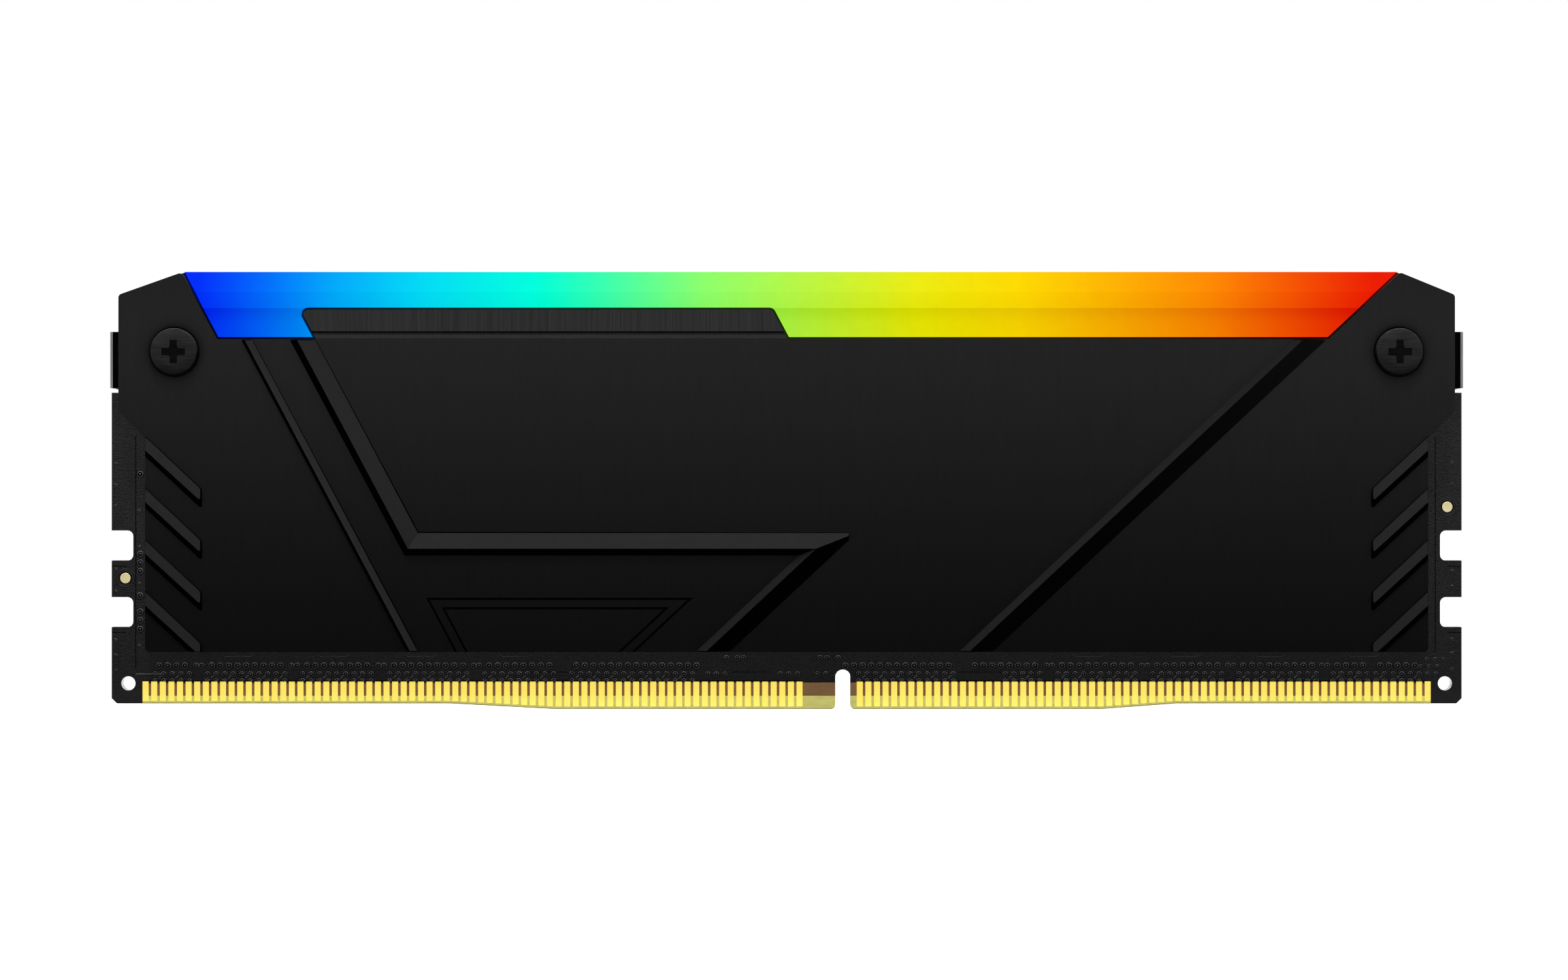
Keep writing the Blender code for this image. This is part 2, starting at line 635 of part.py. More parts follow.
def make_lip_pocket(side):
    """Room in the light bar for a spreader's lip."""
    top = SILL + LIP_RISE + BAR_GAP
    bottom = SILL - CUT_MARGIN
    gap = BAR_GAP * math.hypot(1, STEEP_LEAN)
    left = -LIP_START - gap
    right = LIP_LENGTH - LIP_START + gap
    outline = rounded([
        (left + STEEP_LEAN * (SILL - bottom), bottom, 0),
        (right + STEEP_LEAN * (SILL - bottom), bottom, 0),
        (right - STEEP_LEAN * (top - SILL), top, LIP_RADIUS + BAR_GAP),
        (left - STEEP_LEAN * (top - SILL), top, LIP_RADIUS + BAR_GAP),
    ])
    name = "front_lip_pocket" if side == FRONT else "rear_lip_pocket"
    near = SHEET_INNER - LIP_GAP
    far = SHEET_OUTER + CUT_MARGIN
    return upright_plate(name, [outline], side * near, side * far, cutter=True)


def horn_outline(hand, foot, lean):
    """One end of the light bar, which fills the view between its crown and the ear in front of it."""
    low = SILL + LUG_RISE - JOIN_DEPTH
    peak = SILL + EAR_PEAK_RISE
    peak_x = foot + lean * EAR_PEAK_RISE
    low_x = foot + lean * (low - SILL)
    fall = (EAR_PEAK_RISE - EAR_CORNER_RISE) / (EAR_X - peak_x)
    outline = [
        (low_x - HORN_REACH, low),
        (low_x + HORN_REACH, low),
        (peak_x + HORN_REACH, peak + HORN_RISE - fall * HORN_REACH),
        (peak_x, peak + HORN_RISE),
        (peak_x - HORN_REACH, peak),
    ]
    return [(hand * x, z) for x, z in outline]


def make_light_bar(material):
    """The lit crown in the window, its ends behind the ears, its skirt between the sheets, and lugs."""
    crown_half = BAR_HALF_DEPTH + CUT_MARGIN
    bar = upright_plate("light_bar", [window_outline()], -crown_half, crown_half, material)
    boolean(bar, "INTERSECT", make_roof())
    for side in (FRONT, REAR):
        boolean(bar, "DIFFERENCE", make_lip_pocket(side))

    lug_outer = HALF_LENGTH - TAB_THICKNESS - LUG_SIDE_GAP
    lug_inner = SCREW_X - SCREW_HOLE / 2 - LUG_WALL
    lug_bottom = BOARD_HEIGHT + BOARD_EDGE_GAP
    skirt_bottom = SILL - BAR_SKIRT_DROP
    lug_top = SILL + LUG_RISE
    core = [
        (-lug_outer, lug_bottom),
        (-lug_inner, lug_bottom),
        (-lug_inner, skirt_bottom),
        (lug_inner, skirt_bottom),
        (lug_inner, lug_bottom),
        (lug_outer, lug_bottom),
        (lug_outer, lug_top),
        (-lug_outer, lug_top),
    ]
    outlines = [core] + [circle(hand * SCREW_X, SCREW_Z, SCREW_HOLE) for hand in (-1, 1)]
    joined = upright_plate("bar_core", outlines, -CORE_HALF_DEPTH, CORE_HALF_DEPTH, cutter=True)
    boolean(bar, "UNION", joined)
    horn_half = BAR_HALF_DEPTH - BAR_TOP_SETBACK - HORN_THINNING
    for hand, foot_width, lean in ((-1, LEFT_EAR_FOOT, STEEP_LEAN), (1, RIGHT_EAR_FOOT, WIDE_LEAN)):
        outline = horn_outline(hand, EAR_X - foot_width, lean)
        name = f"{'left' if hand < 0 else 'right'}_horn"
        boolean(bar, "UNION", upright_plate(name, [outline], -horn_half, horn_half, cutter=True))

    channel_half = CHIP_SEAT + LIGHT_HEIGHT + LIGHT_GAP
    channel_top = STRIP_TOP + BAR_CHANNEL_HEADROOM
    channel_bottom = skirt_bottom - CUT_MARGIN
    size = (
        2 * (STRIP_END + BOARD_EDGE_GAP),
        2 * channel_half,
        channel_top - channel_bottom,
    )
    centre = (0, 0, (channel_top + channel_bottom) / 2)
    boolean(bar, "DIFFERENCE", block("light_channel", size, centre, cutter=True))


def make_recess(name, x, face_y):
    """The cross that a screwdriver fits."""
    arm = RECESS_ARM / 2
    tip = RECESS_TIP / 2
    span = RECESS_SPAN / 2
    quarter = [(span, -tip), (span, tip), (arm, arm)]
    outline = []
    for turn in range(4):
        angle = turn * math.pi / 2
        for across, up in quarter:
            outline.append((
                x + across * math.cos(angle) - up * math.sin(angle),
                SCREW_Z + across * math.sin(angle) + up * math.cos(angle),
            ))
    return upright_plate(name, [outline], face_y - CUT_MARGIN, face_y + RECESS_DEPTH, cutter=True)


def make_screw(hand, material):
    """A flat-topped screw, turned about its axis, with a cross recess."""
    side_name = "left" if hand < 0 else "right"
    under_head = SHEET_OUTER + SEAT_GAP
    top = under_head + SCREW_HEAD_HEIGHT
    tip = SCREW_END_RECESS - SHEET_OUTER
    head = SCREW_HEAD_DIAMETER / 2
    shank = SCREW_SHANK_DIAMETER / 2
    profile = [
        (0, top),
        (head - SCREW_HEAD_CHAMFER, top),
        (head, top - SCREW_HEAD_CHAMFER),
        (head, under_head),
        (shank, under_head),
        (shank, tip),
        (0, tip),
    ]
    mesh = bpy.data.meshes.new(f"{side_name}_screw")
    edges = [(index, index + 1) for index in range(len(profile) - 1)]
    mesh.from_pydata([(radius, 0, along) for radius, along in profile], edges, [])
    screw = add_object(f"{side_name}_screw", mesh, material)
    screw.rotation_euler = FACING_FRONT
    screw.location = (hand * SCREW_X, 0, SCREW_Z)
    turned = screw.modifiers.new("turned", "SCREW")
    turned.steps = ROUND_STEPS
    turned.render_steps = ROUND_STEPS
    turned.use_merge_vertices = True
    turned.merge_threshold = MERGE_DISTANCE
    turned.use_smooth_shade = True
    boolean(screw, "DIFFERENCE", make_recess(f"{side_name}_recess", hand * SCREW_X, -top))


for leftover in list(bpy.data.objects):
    bpy.data.objects.remove(leftover)
PARTS = new_collection("memory_module")
CUTTERS = new_collection("cutters")

BLACK_BOARD = finish("black_board", (0.012, 0.012, 0.012), 0.5)
GOLD = finish("gold", (0.9, 0.68, 0.16), 0.3, 1.0)
BLACK_SHEET = finish("black_anodised_sheet", (0.016, 0.016, 0.016), 0.45, 0.6)
LIT_PLASTIC = finish("lit_plastic", (0.75, 0.85, 0.9), 0.35)
BLACK_SCREW = finish("black_screw", (0.02, 0.02, 0.02), 0.4, 0.8)
BLACK_PACKAGE = finish("black_package", (0.02, 0.02, 0.022), 0.6)
PALE_CERAMIC = finish("pale_ceramic", (0.55, 0.45, 0.34), 0.5)
LAMP = finish("white_lamp", (0.9, 0.9, 0.86), 0.4)
PAD = finish("grey_pad", (0.42, 0.45, 0.48), 0.85)

make_board(BLACK_BOARD)
for face_name, face_side in (("front", FRONT), ("rear", REAR)):
    make_contacts(f"{face_name}_left_contacts", -1, face_side, GOLD)
    make_contacts(f"{face_name}_right_contacts", 1, face_side, GOLD)
    make_board_parts(face_name, face_side, BLACK_PACKAGE, PALE_CERAMIC, LAMP)
    make_pad(f"{face_name}_thermal_pad", face_side, PAD)
    make_spreader(face_name, face_side, BLACK_SHEET)
on_board(
    "identity_chip",
    IDENTITY_CHIP_WIDTH,
    IDENTITY_CHIP_HEIGHT,
    IDENTITY_CHIP_LENGTH,
    0,
    CHIP_Z,
    FRONT,
    BLACK_PACKAGE,
)
on_board(
    "light_controller",
    CONTROLLER_SIDE,
    CONTROLLER_HEIGHT,
    CONTROLLER_SIDE,
    0,
    CHIP_Z,
    REAR,
    BLACK_PACKAGE,
)
make_light_bar(LIT_PLASTIC)
for screw_hand in (-1, 1):
    make_screw(screw_hand, BLACK_SCREW)
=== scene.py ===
# %% [markdown]
# # A memory module with a light bar
# The module's solids come in as a fixed frame, and this lesson dresses them: it refines the sheets,
# the light bar, the screws and the board, adds the fine copper work, and gives every piece its finish.
# Nothing here moves or resizes a solid. What needs a finer shape is modelled anew and replaces it.

# %% Load the frame
import math

import bmesh
import bpy
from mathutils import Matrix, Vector


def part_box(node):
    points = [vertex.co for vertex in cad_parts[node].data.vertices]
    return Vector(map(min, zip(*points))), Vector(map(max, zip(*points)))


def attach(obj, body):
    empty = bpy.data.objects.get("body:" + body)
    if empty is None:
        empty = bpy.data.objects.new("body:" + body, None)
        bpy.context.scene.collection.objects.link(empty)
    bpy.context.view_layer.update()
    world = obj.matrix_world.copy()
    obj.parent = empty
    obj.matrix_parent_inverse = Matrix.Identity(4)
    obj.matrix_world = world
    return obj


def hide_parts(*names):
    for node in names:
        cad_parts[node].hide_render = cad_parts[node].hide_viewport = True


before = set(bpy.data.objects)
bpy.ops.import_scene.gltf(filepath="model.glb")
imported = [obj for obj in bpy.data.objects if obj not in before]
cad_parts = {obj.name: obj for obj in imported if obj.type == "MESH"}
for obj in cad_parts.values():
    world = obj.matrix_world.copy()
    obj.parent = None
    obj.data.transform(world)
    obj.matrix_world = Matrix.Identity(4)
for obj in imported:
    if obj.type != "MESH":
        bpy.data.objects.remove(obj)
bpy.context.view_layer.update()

MM = 0.001

# %% [markdown]
# ## Selecting, in code
# A modeller selects something, then runs an operator on it. In a script the selecting is a test on
# each face, edge or corner. Operators act on all that is selected, so every tool starts by
# deselecting everything else.

# %% Tools for selecting
NEAR = 0.01 * MM


def only(piece):
    """Makes one piece the only selected one, in object mode."""
    if bpy.context.object and bpy.context.object.mode != "OBJECT":
        bpy.ops.object.mode_set(mode="OBJECT")
    bpy.ops.object.select_all(action="DESELECT")
    piece.select_set(True)
    bpy.context.view_layer.objects.active = piece


def select_in(piece, kind, test):
    """Opens a piece in edit mode with just the faces, edges or corners selected that pass a test."""
    only(piece)
    bpy.ops.object.mode_set(mode="EDIT")
    bpy.ops.mesh.select_mode(type=kind)
    bpy.ops.mesh.select_all(action="DESELECT")
    shape = bmesh.from_edit_mesh(piece.data)
    shape.normal_update()
    items = {"FACE": shape.faces, "EDGE": shape.edges, "VERT": shape.verts}[kind]
    chosen = [item for item in items if test(item)]
    for item in chosen:
        item.select_set(True)
    shape.select_flush_mode()
    bmesh.update_edit_mesh(piece.data)
    return len(chosen)


def every(item):
    """The test that all items pass."""
    return True


def leave_edit():
    bpy.ops.object.mode_set(mode="OBJECT")


def edge_middle(edge):
    return (edge.verts[0].co + edge.verts[1].co) / 2


def edge_way(edge):
    return (edge.verts[1].co - edge.verts[0].co).normalized()


print("corners count as being in one place within", NEAR / MM, "mm")

# %% [markdown]
# ## Cuts and modifiers
# By hand one adds a modifier, sets it and applies it, and so does this code, so that every mesh ends up
# plain. A straight cut through all faces needs no modifier: Bisect does it in edit mode.

# %% Tools for cutting, joining and repeating
def with_modifier(piece, kind, **settings):
    """Adds a modifier, sets it and applies it."""
    only(piece)
    modifier = piece.modifiers.new(kind.lower(), kind)
    for name, value in settings.items():
        setattr(modifier, name, value)
    bpy.ops.object.modifier_apply(modifier=modifier.name)


def cut(piece, cutter):
    with_modifier(piece, "BOOLEAN", operation="DIFFERENCE", solver="EXACT", object=cutter)
    bpy.data.objects.remove(cutter)


def add_on(piece, extra):
    with_modifier(piece, "BOOLEAN", operation="UNION", solver="EXACT", object=extra)
    bpy.data.objects.remove(extra)


def break_edges(piece, width, degrees):
    """Rounds the edges that are sharper than an angle."""
    with_modifier(
        piece, "BEVEL", width=width, segments=2, limit_method="ANGLE", angle_limit=math.radians(degrees)
    )


def repeat(piece, count, step):
    """Repeats a shape along a step with an Array."""
    if count > 1:
        with_modifier(
            piece, "ARRAY", count=count, use_relative_offset=False,
            use_constant_offset=True, constant_offset_displace=step,
        )


def slice_level(piece, height, **options):
    """Cuts all faces of a piece along a level plane."""
    select_in(piece, "FACE", every)
    bpy.ops.mesh.bisect(plane_co=(0, 0, height), plane_no=(0, 0, 1), **options)


def bevel_where(piece, test, width, segments):
    """Bevels the edges that pass a test, and tells how many there are."""
    found = select_in(piece, "EDGE", test)
    if found:
        bpy.ops.mesh.bevel(offset=width, segments=segments, affect="EDGES")
    return found


def draw_out(distance):
    """Extrudes the selected faces along Y."""
    bpy.ops.mesh.extrude_region_move(TRANSFORM_OT_translate={"value": (0, distance, 0)})


def turn_outward():
    """Turns all faces of the open piece outward, and closes it."""
    bpy.ops.mesh.select_all(action="SELECT")
    bpy.ops.mesh.normals_make_consistent(inside=False)
    leave_edit()


def joined(pieces):
    """Joins pieces into the first one."""
    only(pieces[0])
    for piece in pieces:
        piece.select_set(True)
    bpy.ops.object.join()
    return pieces[0]


# %% [markdown]
# ## Starting shapes
# A piece starts as a primitive or as a copy of its solid. Its scale goes into the mesh at once, because
# finishes read the mesh's own coordinates, and the loose triangles of a solid are merged into faces.

# %% Boxes, rods, planes and copies
MERGE = 0.001 * MM
ONE_PLANE = math.radians(0.5)
FACING_FRONT = (math.pi / 2, 0, 0)


def settle(name):
    """Names the new primitive, and moves its place, turn and scale into its mesh."""
    piece = bpy.context.object
    piece.name = name
    only(piece)
    bpy.ops.object.transform_apply(location=True, rotation=True, scale=True)
    return piece


def add_box(name, low, high):
    """A cube primitive between two corners, as a start for a piece or a cutter."""
    low, high = Vector(low), Vector(high)
    bpy.ops.object.select_all(action="DESELECT")
    bpy.ops.mesh.primitive_cube_add(size=1, location=(low + high) / 2, scale=high - low)
    return settle(name)


def add_rod(name, centre, radius, length, sides):
    """A cylinder primitive that lies along Y."""
    bpy.ops.object.select_all(action="DESELECT")
    bpy.ops.mesh.primitive_cylinder_add(
        vertices=sides, radius=radius, depth=length, location=centre, rotation=FACING_FRONT
    )
    return settle(name)


def add_plane(name):
    """An upright plane primitive with its corners at -1 and 1, to be moved one by one."""
    bpy.ops.object.select_all(action="DESELECT")
    bpy.ops.mesh.primitive_plane_add(size=2, rotation=FACING_FRONT)
    return settle(name)


def cad_copy(node, name):
    """A copy of a solid with its loose triangles merged and its flat stretches joined into faces."""
    piece = bpy.data.objects.new(name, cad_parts[node].data.copy())
    piece.data.materials.clear()
    bpy.context.scene.collection.objects.link(piece)
    select_in(piece, "FACE", every)
    bpy.ops.mesh.remove_doubles(threshold=MERGE)
    bpy.ops.mesh.dissolve_limited(angle_limit=ONE_PLANE)
    leave_edit()
    bpy.ops.mesh.customdata_custom_splitnormals_clear()
    bpy.ops.object.shade_flat()
    return piece


print("doubles merge within", MERGE / MM, "mm")

# %% [markdown]
# ## Seating a piece on the module
# The frame has to know two things about a new piece: the body it rides on and the solids it stands for.
# The slot that its finish belongs to is passed along but not used. Nothing on the module moves, so there
# is one body.

# %% Dressing a piece
def dress(piece, slot, nodes, *finishes):
    """Gives a piece its finishes, and seats it on the module in place of the solids it stands for."""
    for finish in finishes:
        piece.data.materials.append(finish)
    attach(piece, "root")
    if nodes:
        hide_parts(*nodes)
    print(piece.name, "faces:", len(piece.data.polygons), "stands for:", list(nodes))


def finish_faces(piece, choose):
    """Gives each face the finish that a function chooses for it."""
    for polygon in piece.data.polygons:
        polygon.material_index = choose(polygon)


# %% [markdown]
# ## Nodes in a few words
# Every finish starts from a Principled shader and reads Object coordinates, in metres, so a pattern
# keeps its real scale on every piece. These helpers add a node and wire it in one call.

# %% Wiring helpers
def connect(material, target, inputs):
    """Links an input that is given a socket, and sets one that is given a value."""
    for name, value in inputs.items():
        if isinstance(value, bpy.types.NodeSocket):
            material.node_tree.links.new(value, target.inputs[name])
        else:
            target.inputs[name].default_value = value


def add_node(material, kind, inputs=None, **settings):
    made = material.node_tree.nodes.new("ShaderNode" + kind)
    for name, value in settings.items():
        setattr(made, name, value)
    connect(material, made, inputs or {})
    return made


def shader_of(material):
    return material.node_tree.nodes["Principled BSDF"]


def new_finish(name, inputs):
    """A material with the given values on its Principled shader."""
    material = bpy.data.materials.new(name)
    material.use_nodes = True
    connect(material, shader_of(material), inputs)
    return material


# %% [markdown]
# ## Patterns
# No real surface has one flat colour. Noise varies it, a colour ramp turns noise into shades, and as bump
# it catches the light. Most finishes here need one noise for all three, so one function makes them.

# %% Pattern helpers
EVEN = (1, 1, 1)


def noise(material, scale, stretch=EVEN, detail=3.0):
    """Noise on Object coordinates. A small stretch along an axis draws it out into grain."""
    coordinates = add_node(material, "TexCoord")
    mapped = add_node(material, "Mapping", {"Vector": coordinates.outputs["Object"], "Scale": stretch})
    pattern = {"Vector": mapped.outputs["Vector"], "Scale": scale, "Detail": detail}
    return add_node(material, "TexNoise", pattern).outputs["Fac"]


def along_axis(material, axis, low, high):
    """0 to 1 between two places along an axis of the module."""
    coordinates = add_node(material, "TexCoord")
    axes = add_node(material, "SeparateXYZ", {"Vector": coordinates.outputs["Object"]})
    span = {"Value": axes.outputs[axis], "From Min": low, "From Max": high}
    return add_node(material, "MapRange", span).outputs["Result"]


def shades(material, value, *stops):
    """A colour ramp over a value, from (position, colour) stops. A plain number is a grey."""
    ramp = add_node(material, "ValToRGB", {"Fac": value})
    elements = ramp.color_ramp.elements
    while len(elements) < len(stops):
        elements.new(1.0)
    for element, (position, colour) in zip(elements, stops):
        element.position = position
        element.color = (*colour, 1.0) if isinstance(colour, (tuple, list)) else (*[colour] * 3, 1.0)
    return ramp.outputs["Color"]


def mixed(material, blend, first, second, amount=1.0, **settings):
    """Two colours mixed in one of the ways that painting programs have."""
    inputs = {0: amount, 6: first, 7: second}
    return add_node(material, "Mix", inputs, data_type="RGBA", blend_type=blend, **settings).outputs[2]


def relief(material, height, strength, distance):
    """Bump from a height, linked to the shader's normal."""
    bump = add_node(material, "Bump", {"Height": height, "Strength": strength, "Distance": distance})
    connect(material, shader_of(material), {"Normal": bump.outputs["Normal"]})


def grained(name, fixed, scale, stretch, detail, colours, roughness=(), bump=()):
    """A finish with one noise for its colour, its roughness and its bump."""
    material = new_finish(name, fixed)
    grain = noise(material, scale, stretch, detail)
    connect(material, shader_of(material), {"Base Color": shades(material, grain, *colours)})
    if roughness:
        connect(material, shader_of(material), {"Roughness": shades(material, grain, *roughness)})
    if bump:
        relief(material, grain, *bump)
    print("finish:", name)
    return material


# %% [markdown]
# ## The camera
# The photo looks straight at the front from about 0.4 m, a little above half height. The lens follows
# from the width of board that fills the frame at that distance.

# %% Camera
FRAME_WIDTH = 154.9 * MM
CAMERA_DISTANCE = 400 * MM
CAMERA_X = -0.26 * MM
CAMERA_Z = 21.64 * MM

board_low, board_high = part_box("main_board")
bpy.ops.object.select_all(action="DESELECT")
bpy.ops.object.camera_add(
    location=(CAMERA_X, board_low.y - CAMERA_DISTANCE, CAMERA_Z), rotation=FACING_FRONT
)
camera = bpy.context.object
camera.data.sensor_width = 36
camera.data.lens = camera.data.sensor_width * CAMERA_DISTANCE / FRAME_WIDTH
camera.data.clip_start = 10 * MM
bpy.context.scene.camera = camera
print("lens in mm:", round(camera.data.lens, 1))

# %% [markdown]
# ## Floor
# Product shots on white are lit so that the ground burns out, but the part must not. Here the floor is
# white only to rays that show the background, and throws next to no light on the part. Its small share
# of plain colour still takes the light of the lamps, so it keeps a faint shadow.

# %% Floor
FLOOR_SIZE = 3.0
FLOOR_GLOW = 0.88
FLOOR_SHADE = 0.15
FLOOR_BOUNCE = 0.04
FLOOR_DROP = 0.1 * MM


def shows_background(material):
    """1 for camera, glossy and transmission rays, and 0 for the rays that carry light between things."""
    path = add_node(material, "LightPath")
    seen = path.outputs["Is Camera Ray"]
    for ray in ("Is Glossy Ray", "Is Transmission Ray"):
        either = add_node(material, "Math", {0: seen, 1: path.outputs[ray]}, operation="MAXIMUM")
        seen = either.outputs["Value"]
    return seen


bpy.ops.object.select_all(action="DESELECT")
bpy.ops.mesh.primitive_plane_add(size=FLOOR_SIZE, location=(0, 0, board_low.z - FLOOR_DROP))
floor = bpy.context.object
floor.name = "floor"
paper = new_finish("white_paper", {"Roughness": 0.9, "Specular IOR Level": 0.0})
seen = shows_background(paper)
glow = add_node(paper, "Math", {0: seen, 1: FLOOR_GLOW}, operation="MULTIPLY")
connect(paper, shader_of(paper), {
    "Base Color": shades(paper, seen, (0.0, FLOOR_BOUNCE), (1.0, FLOOR_SHADE)),
    "Emission Color": (1, 1, 1, 1),
    "Emission Strength": glow.outputs["Value"],
})
floor.data.materials.append(paper)
print("floor at", round(floor.location.z / MM, 2), "mm")

# %% [markdown]
# ## Light and world
# A sun and a long strip lamp stand above the front: being near, the strip lights the top of the face
# more than its foot, gives the upper slopes of the ridges their light and leaves their undersides
# black. The strip casts no shadow, as a wall of soft boxes would, and the sun draws the shadow on the
# floor. The back has the same pair. The world is white to the background only, as the floor is.

# %% Suns, strip lamps and world
SUN_TILT = 20
SUN_ENERGY = {"front": 1.9, "rear": 1.3}
SUN_ANGLE = 8
STRIP_LENGTH = 200 * MM
STRIP_WIDTH = 10 * MM
STRIP_OUT = 18 * MM
STRIP_HEIGHT = 80 * MM
STRIP_AIM = 18 * MM
STRIP_ENERGY = 0.04
STRIP_SPREAD = 24
WORLD_FILL = 0.02
SIDES = (("front", -1), ("rear", 1))


def add_lamp(name, kind, tilt, energy, location=(0, 0, 0)):
    """A lamp that is turned about X only: a positive tilt shines toward +Y."""
    bpy.ops.object.select_all(action="DESELECT")
    bpy.ops.object.light_add(type=kind, location=location, rotation=(tilt, 0, 0))
    lamp = bpy.context.object
    lamp.name = name
    lamp.data.energy = energy
    lamp.visible_camera = False
    lamp.visible_glossy = kind == "SUN"
    return lamp


def add_strip(name, side):
    """A strip lamp along X with a grid on it, aimed at a height on the module."""
    tilt = math.atan2(STRIP_OUT, STRIP_HEIGHT - STRIP_AIM)
    lamp = add_lamp(name, "AREA", -side * tilt, STRIP_ENERGY, (0, side * STRIP_OUT, STRIP_HEIGHT))
    lamp.data.shape = "RECTANGLE"
    lamp.data.size = STRIP_LENGTH
    lamp.data.size_y = STRIP_WIDTH
    lamp.data.spread = math.radians(STRIP_SPREAD)
    lamp.data.use_shadow = False


for place, side in SIDES:
    sun = add_lamp(f"{place}_sun", "SUN", -side * math.radians(SUN_TILT), SUN_ENERGY[place])
    sun.data.angle = math.radians(SUN_ANGLE)
    add_strip(f"{place}_strip", side)

world = bpy.data.worlds.new("studio")
world.use_nodes = True
bpy.context.scene.world = world
background = world.node_tree.nodes["Background"]
level = add_node(world, "Mix", {0: shows_background(world), 2: WORLD_FILL, 3: 1.0})
connect(world, background, {"Color": (1, 1, 1, 1), "Strength": level.outputs[0]})
bpy.context.scene.view_settings.view_transform = "Standard"
print("suns:", SUN_ENERGY, "strips:", STRIP_ENERGY, "world:", WORLD_FILL)

# %% [markdown]
# ## Dye and painted shade of the heat spreaders
# The sheets are aluminium, stamped and anodised black. Anodising keeps the grain of the rolled sheet,
# here upright, as faint streaks, with a fine dust-like tooth on top. The flat face is painted darker
# toward its foot, a painted shade on top of the strip lamp's own fall-off. The wide slopes that look up
# get a copy painted paler as painted light, more so toward the foot, and steep and shaded slopes get
# copies painted darker as shade. So one function makes all four: a fade by height times streaks, which
# are noise drawn out along Z. Beside the ridges and round the screw heads the colour is darkened as
# painted shade. These places could be painted by hand, but the Ambient Occlusion node finds them from
# the shapes around, and a ramp turns that into the painted shade.

# %% Dyed sheet with painted shade
# SHEET_TOP and SHEET_FOOT bound the painted shade by height.
SHEET_TOP = 37.0 * MM
SHEET_FOOT = 5.7 * MM
# How far and how deep corners are painted darker, as painted shade.
CORNER_SHADE_REACH = 1.6 * MM
CORNER_SHADE_STOPS = ((0.55, 0.15), (0.8, 0.55), (0.97, 1.0))


def dye_and_shade_finish(name, *fade_stops):
    """Black dye with a painted shade by height and in corners, upright streaks and a fine tooth."""
    material = new_finish(name, {"Specular IOR Level": 0.008})
    streaks = noise(material, 9000, stretch=(1, 1, 0.03), detail=4)
    grain = shades(material, streaks, (0.3, 0.84), (0.7, 1.0))
    fade = shades(material, along_axis(material, "Z", SHEET_FOOT, SHEET_TOP), *fade_stops)
    # Painted shade in corners: the occlusion darkens the base colour.
    corners = add_node(material, "AmbientOcclusion", {"Distance": CORNER_SHADE_REACH}, samples=16)
    depth = shades(material, corners.outputs["AO"], *CORNER_SHADE_STOPS)
    # The fade by height in this colour is painted shade.
    dye_with_shade = mixed(material, "MULTIPLY", fade, grain)
    tooth = noise(material, 14000, detail=1)
    connect(material, shader_of(material), {
        "Base Color": mixed(material, "MULTIPLY", dye_with_shade, depth),
        "Roughness": shades(material, tooth, (0.3, 0.45), (0.7, 0.58)),
    })
    relief(material, tooth, 0.15, 0.01 * MM)
    print("finish:", name)
    return material


black_sheet = dye_and_shade_finish("black_anodised_sheet", (0.0, 0.0052), (1.0, 0.0107))
# A copy painted paler, most toward the foot, as painted light on wide slopes that look up and rib tops.
painted_lit_slope = dye_and_shade_finish("painted_lit_slope", (0.0, 0.0136), (1.0, 0.009))
# Copies painted darker as shade: on steep slopes that look up, and on the right ridge's underside.
painted_steep_shade = dye_and_shade_finish("painted_steep_shade", (0.0, 0.0064), (1.0, 0.0045))
shaded_side = dye_and_shade_finish("shaded_side", (0.25, 0.0003), (0.92, 0.0062))

# %% [markdown]
# ## Other finishes of the sheets
# The lip under the light bar is brushed upright after dyeing, so its streaks are longer and paler. The
# folded tabs show rubbed metal at their bends, and what was cut into the face is painted nearly black
# as shade.

# %% Brushed lip, polished edge and painted shade black
brushed_lip = grained(
    "brushed_lip", {"Specular IOR Level": 0.02}, 7600, (1, 1, 0.012), 6,
    colours=((0.3, 0.0105), (0.5, 0.0153), (0.7, 0.0195)),
    roughness=((0.3, 0.5), (0.7, 0.36)), bump=(0.08, 0.02 * MM),
)
polished_edge = grained(
    "polished_edge", {"Metallic": 1.0}, 3000, (1, 1, 0.1), 3,
    colours=((0.3, 0.14), (0.7, 0.24)), roughness=((0.3, 0.2), (0.7, 0.35)),
)
# A near black that stands for shade: painted shade in creases, cut floors, gaps and hollows.
painted_shade_black = grained(
    "painted_shade_black", {"Specular IOR Level": 0.004}, 9000, (0.2, 1, 0.2), 3,
    colours=((0.3, 0.0003), (0.7, 0.001)),
    roughness=((0.3, 0.6), (0.7, 0.75)), bump=(0.2, 0.01 * MM),
)

# %% [markdown]
# ## Groove under the lip
# A stamped groove sets the lip off from the face: a sharp line, a leaning floor and a sloped lower side.
# A bar is bisected twice and its inner edges are moved to that profile, to be cut out with a boolean. An
# inset of the face would follow its whole outline instead.

# %% Groove cutter
SHEET_FACE = 3.3 * MM
SKIM = 0.004 * MM
CLEAR = 1.0 * MM
GROOVE_TOP = 37.22 * MM
GROOVE_LINE = 37.1 * MM
GROOVE_FLOOR = 36.93 * MM
GROOVE_FOOT = 36.52 * MM
GROOVE_DEPTH = 0.1 * MM
GROOVE_RUNOUT = 1.05
GROOVE_TILT = 0.035 * MM
GROOVE_LEFT = -52.0 * MM
GROOVE_RIGHT = 4.0 * MM


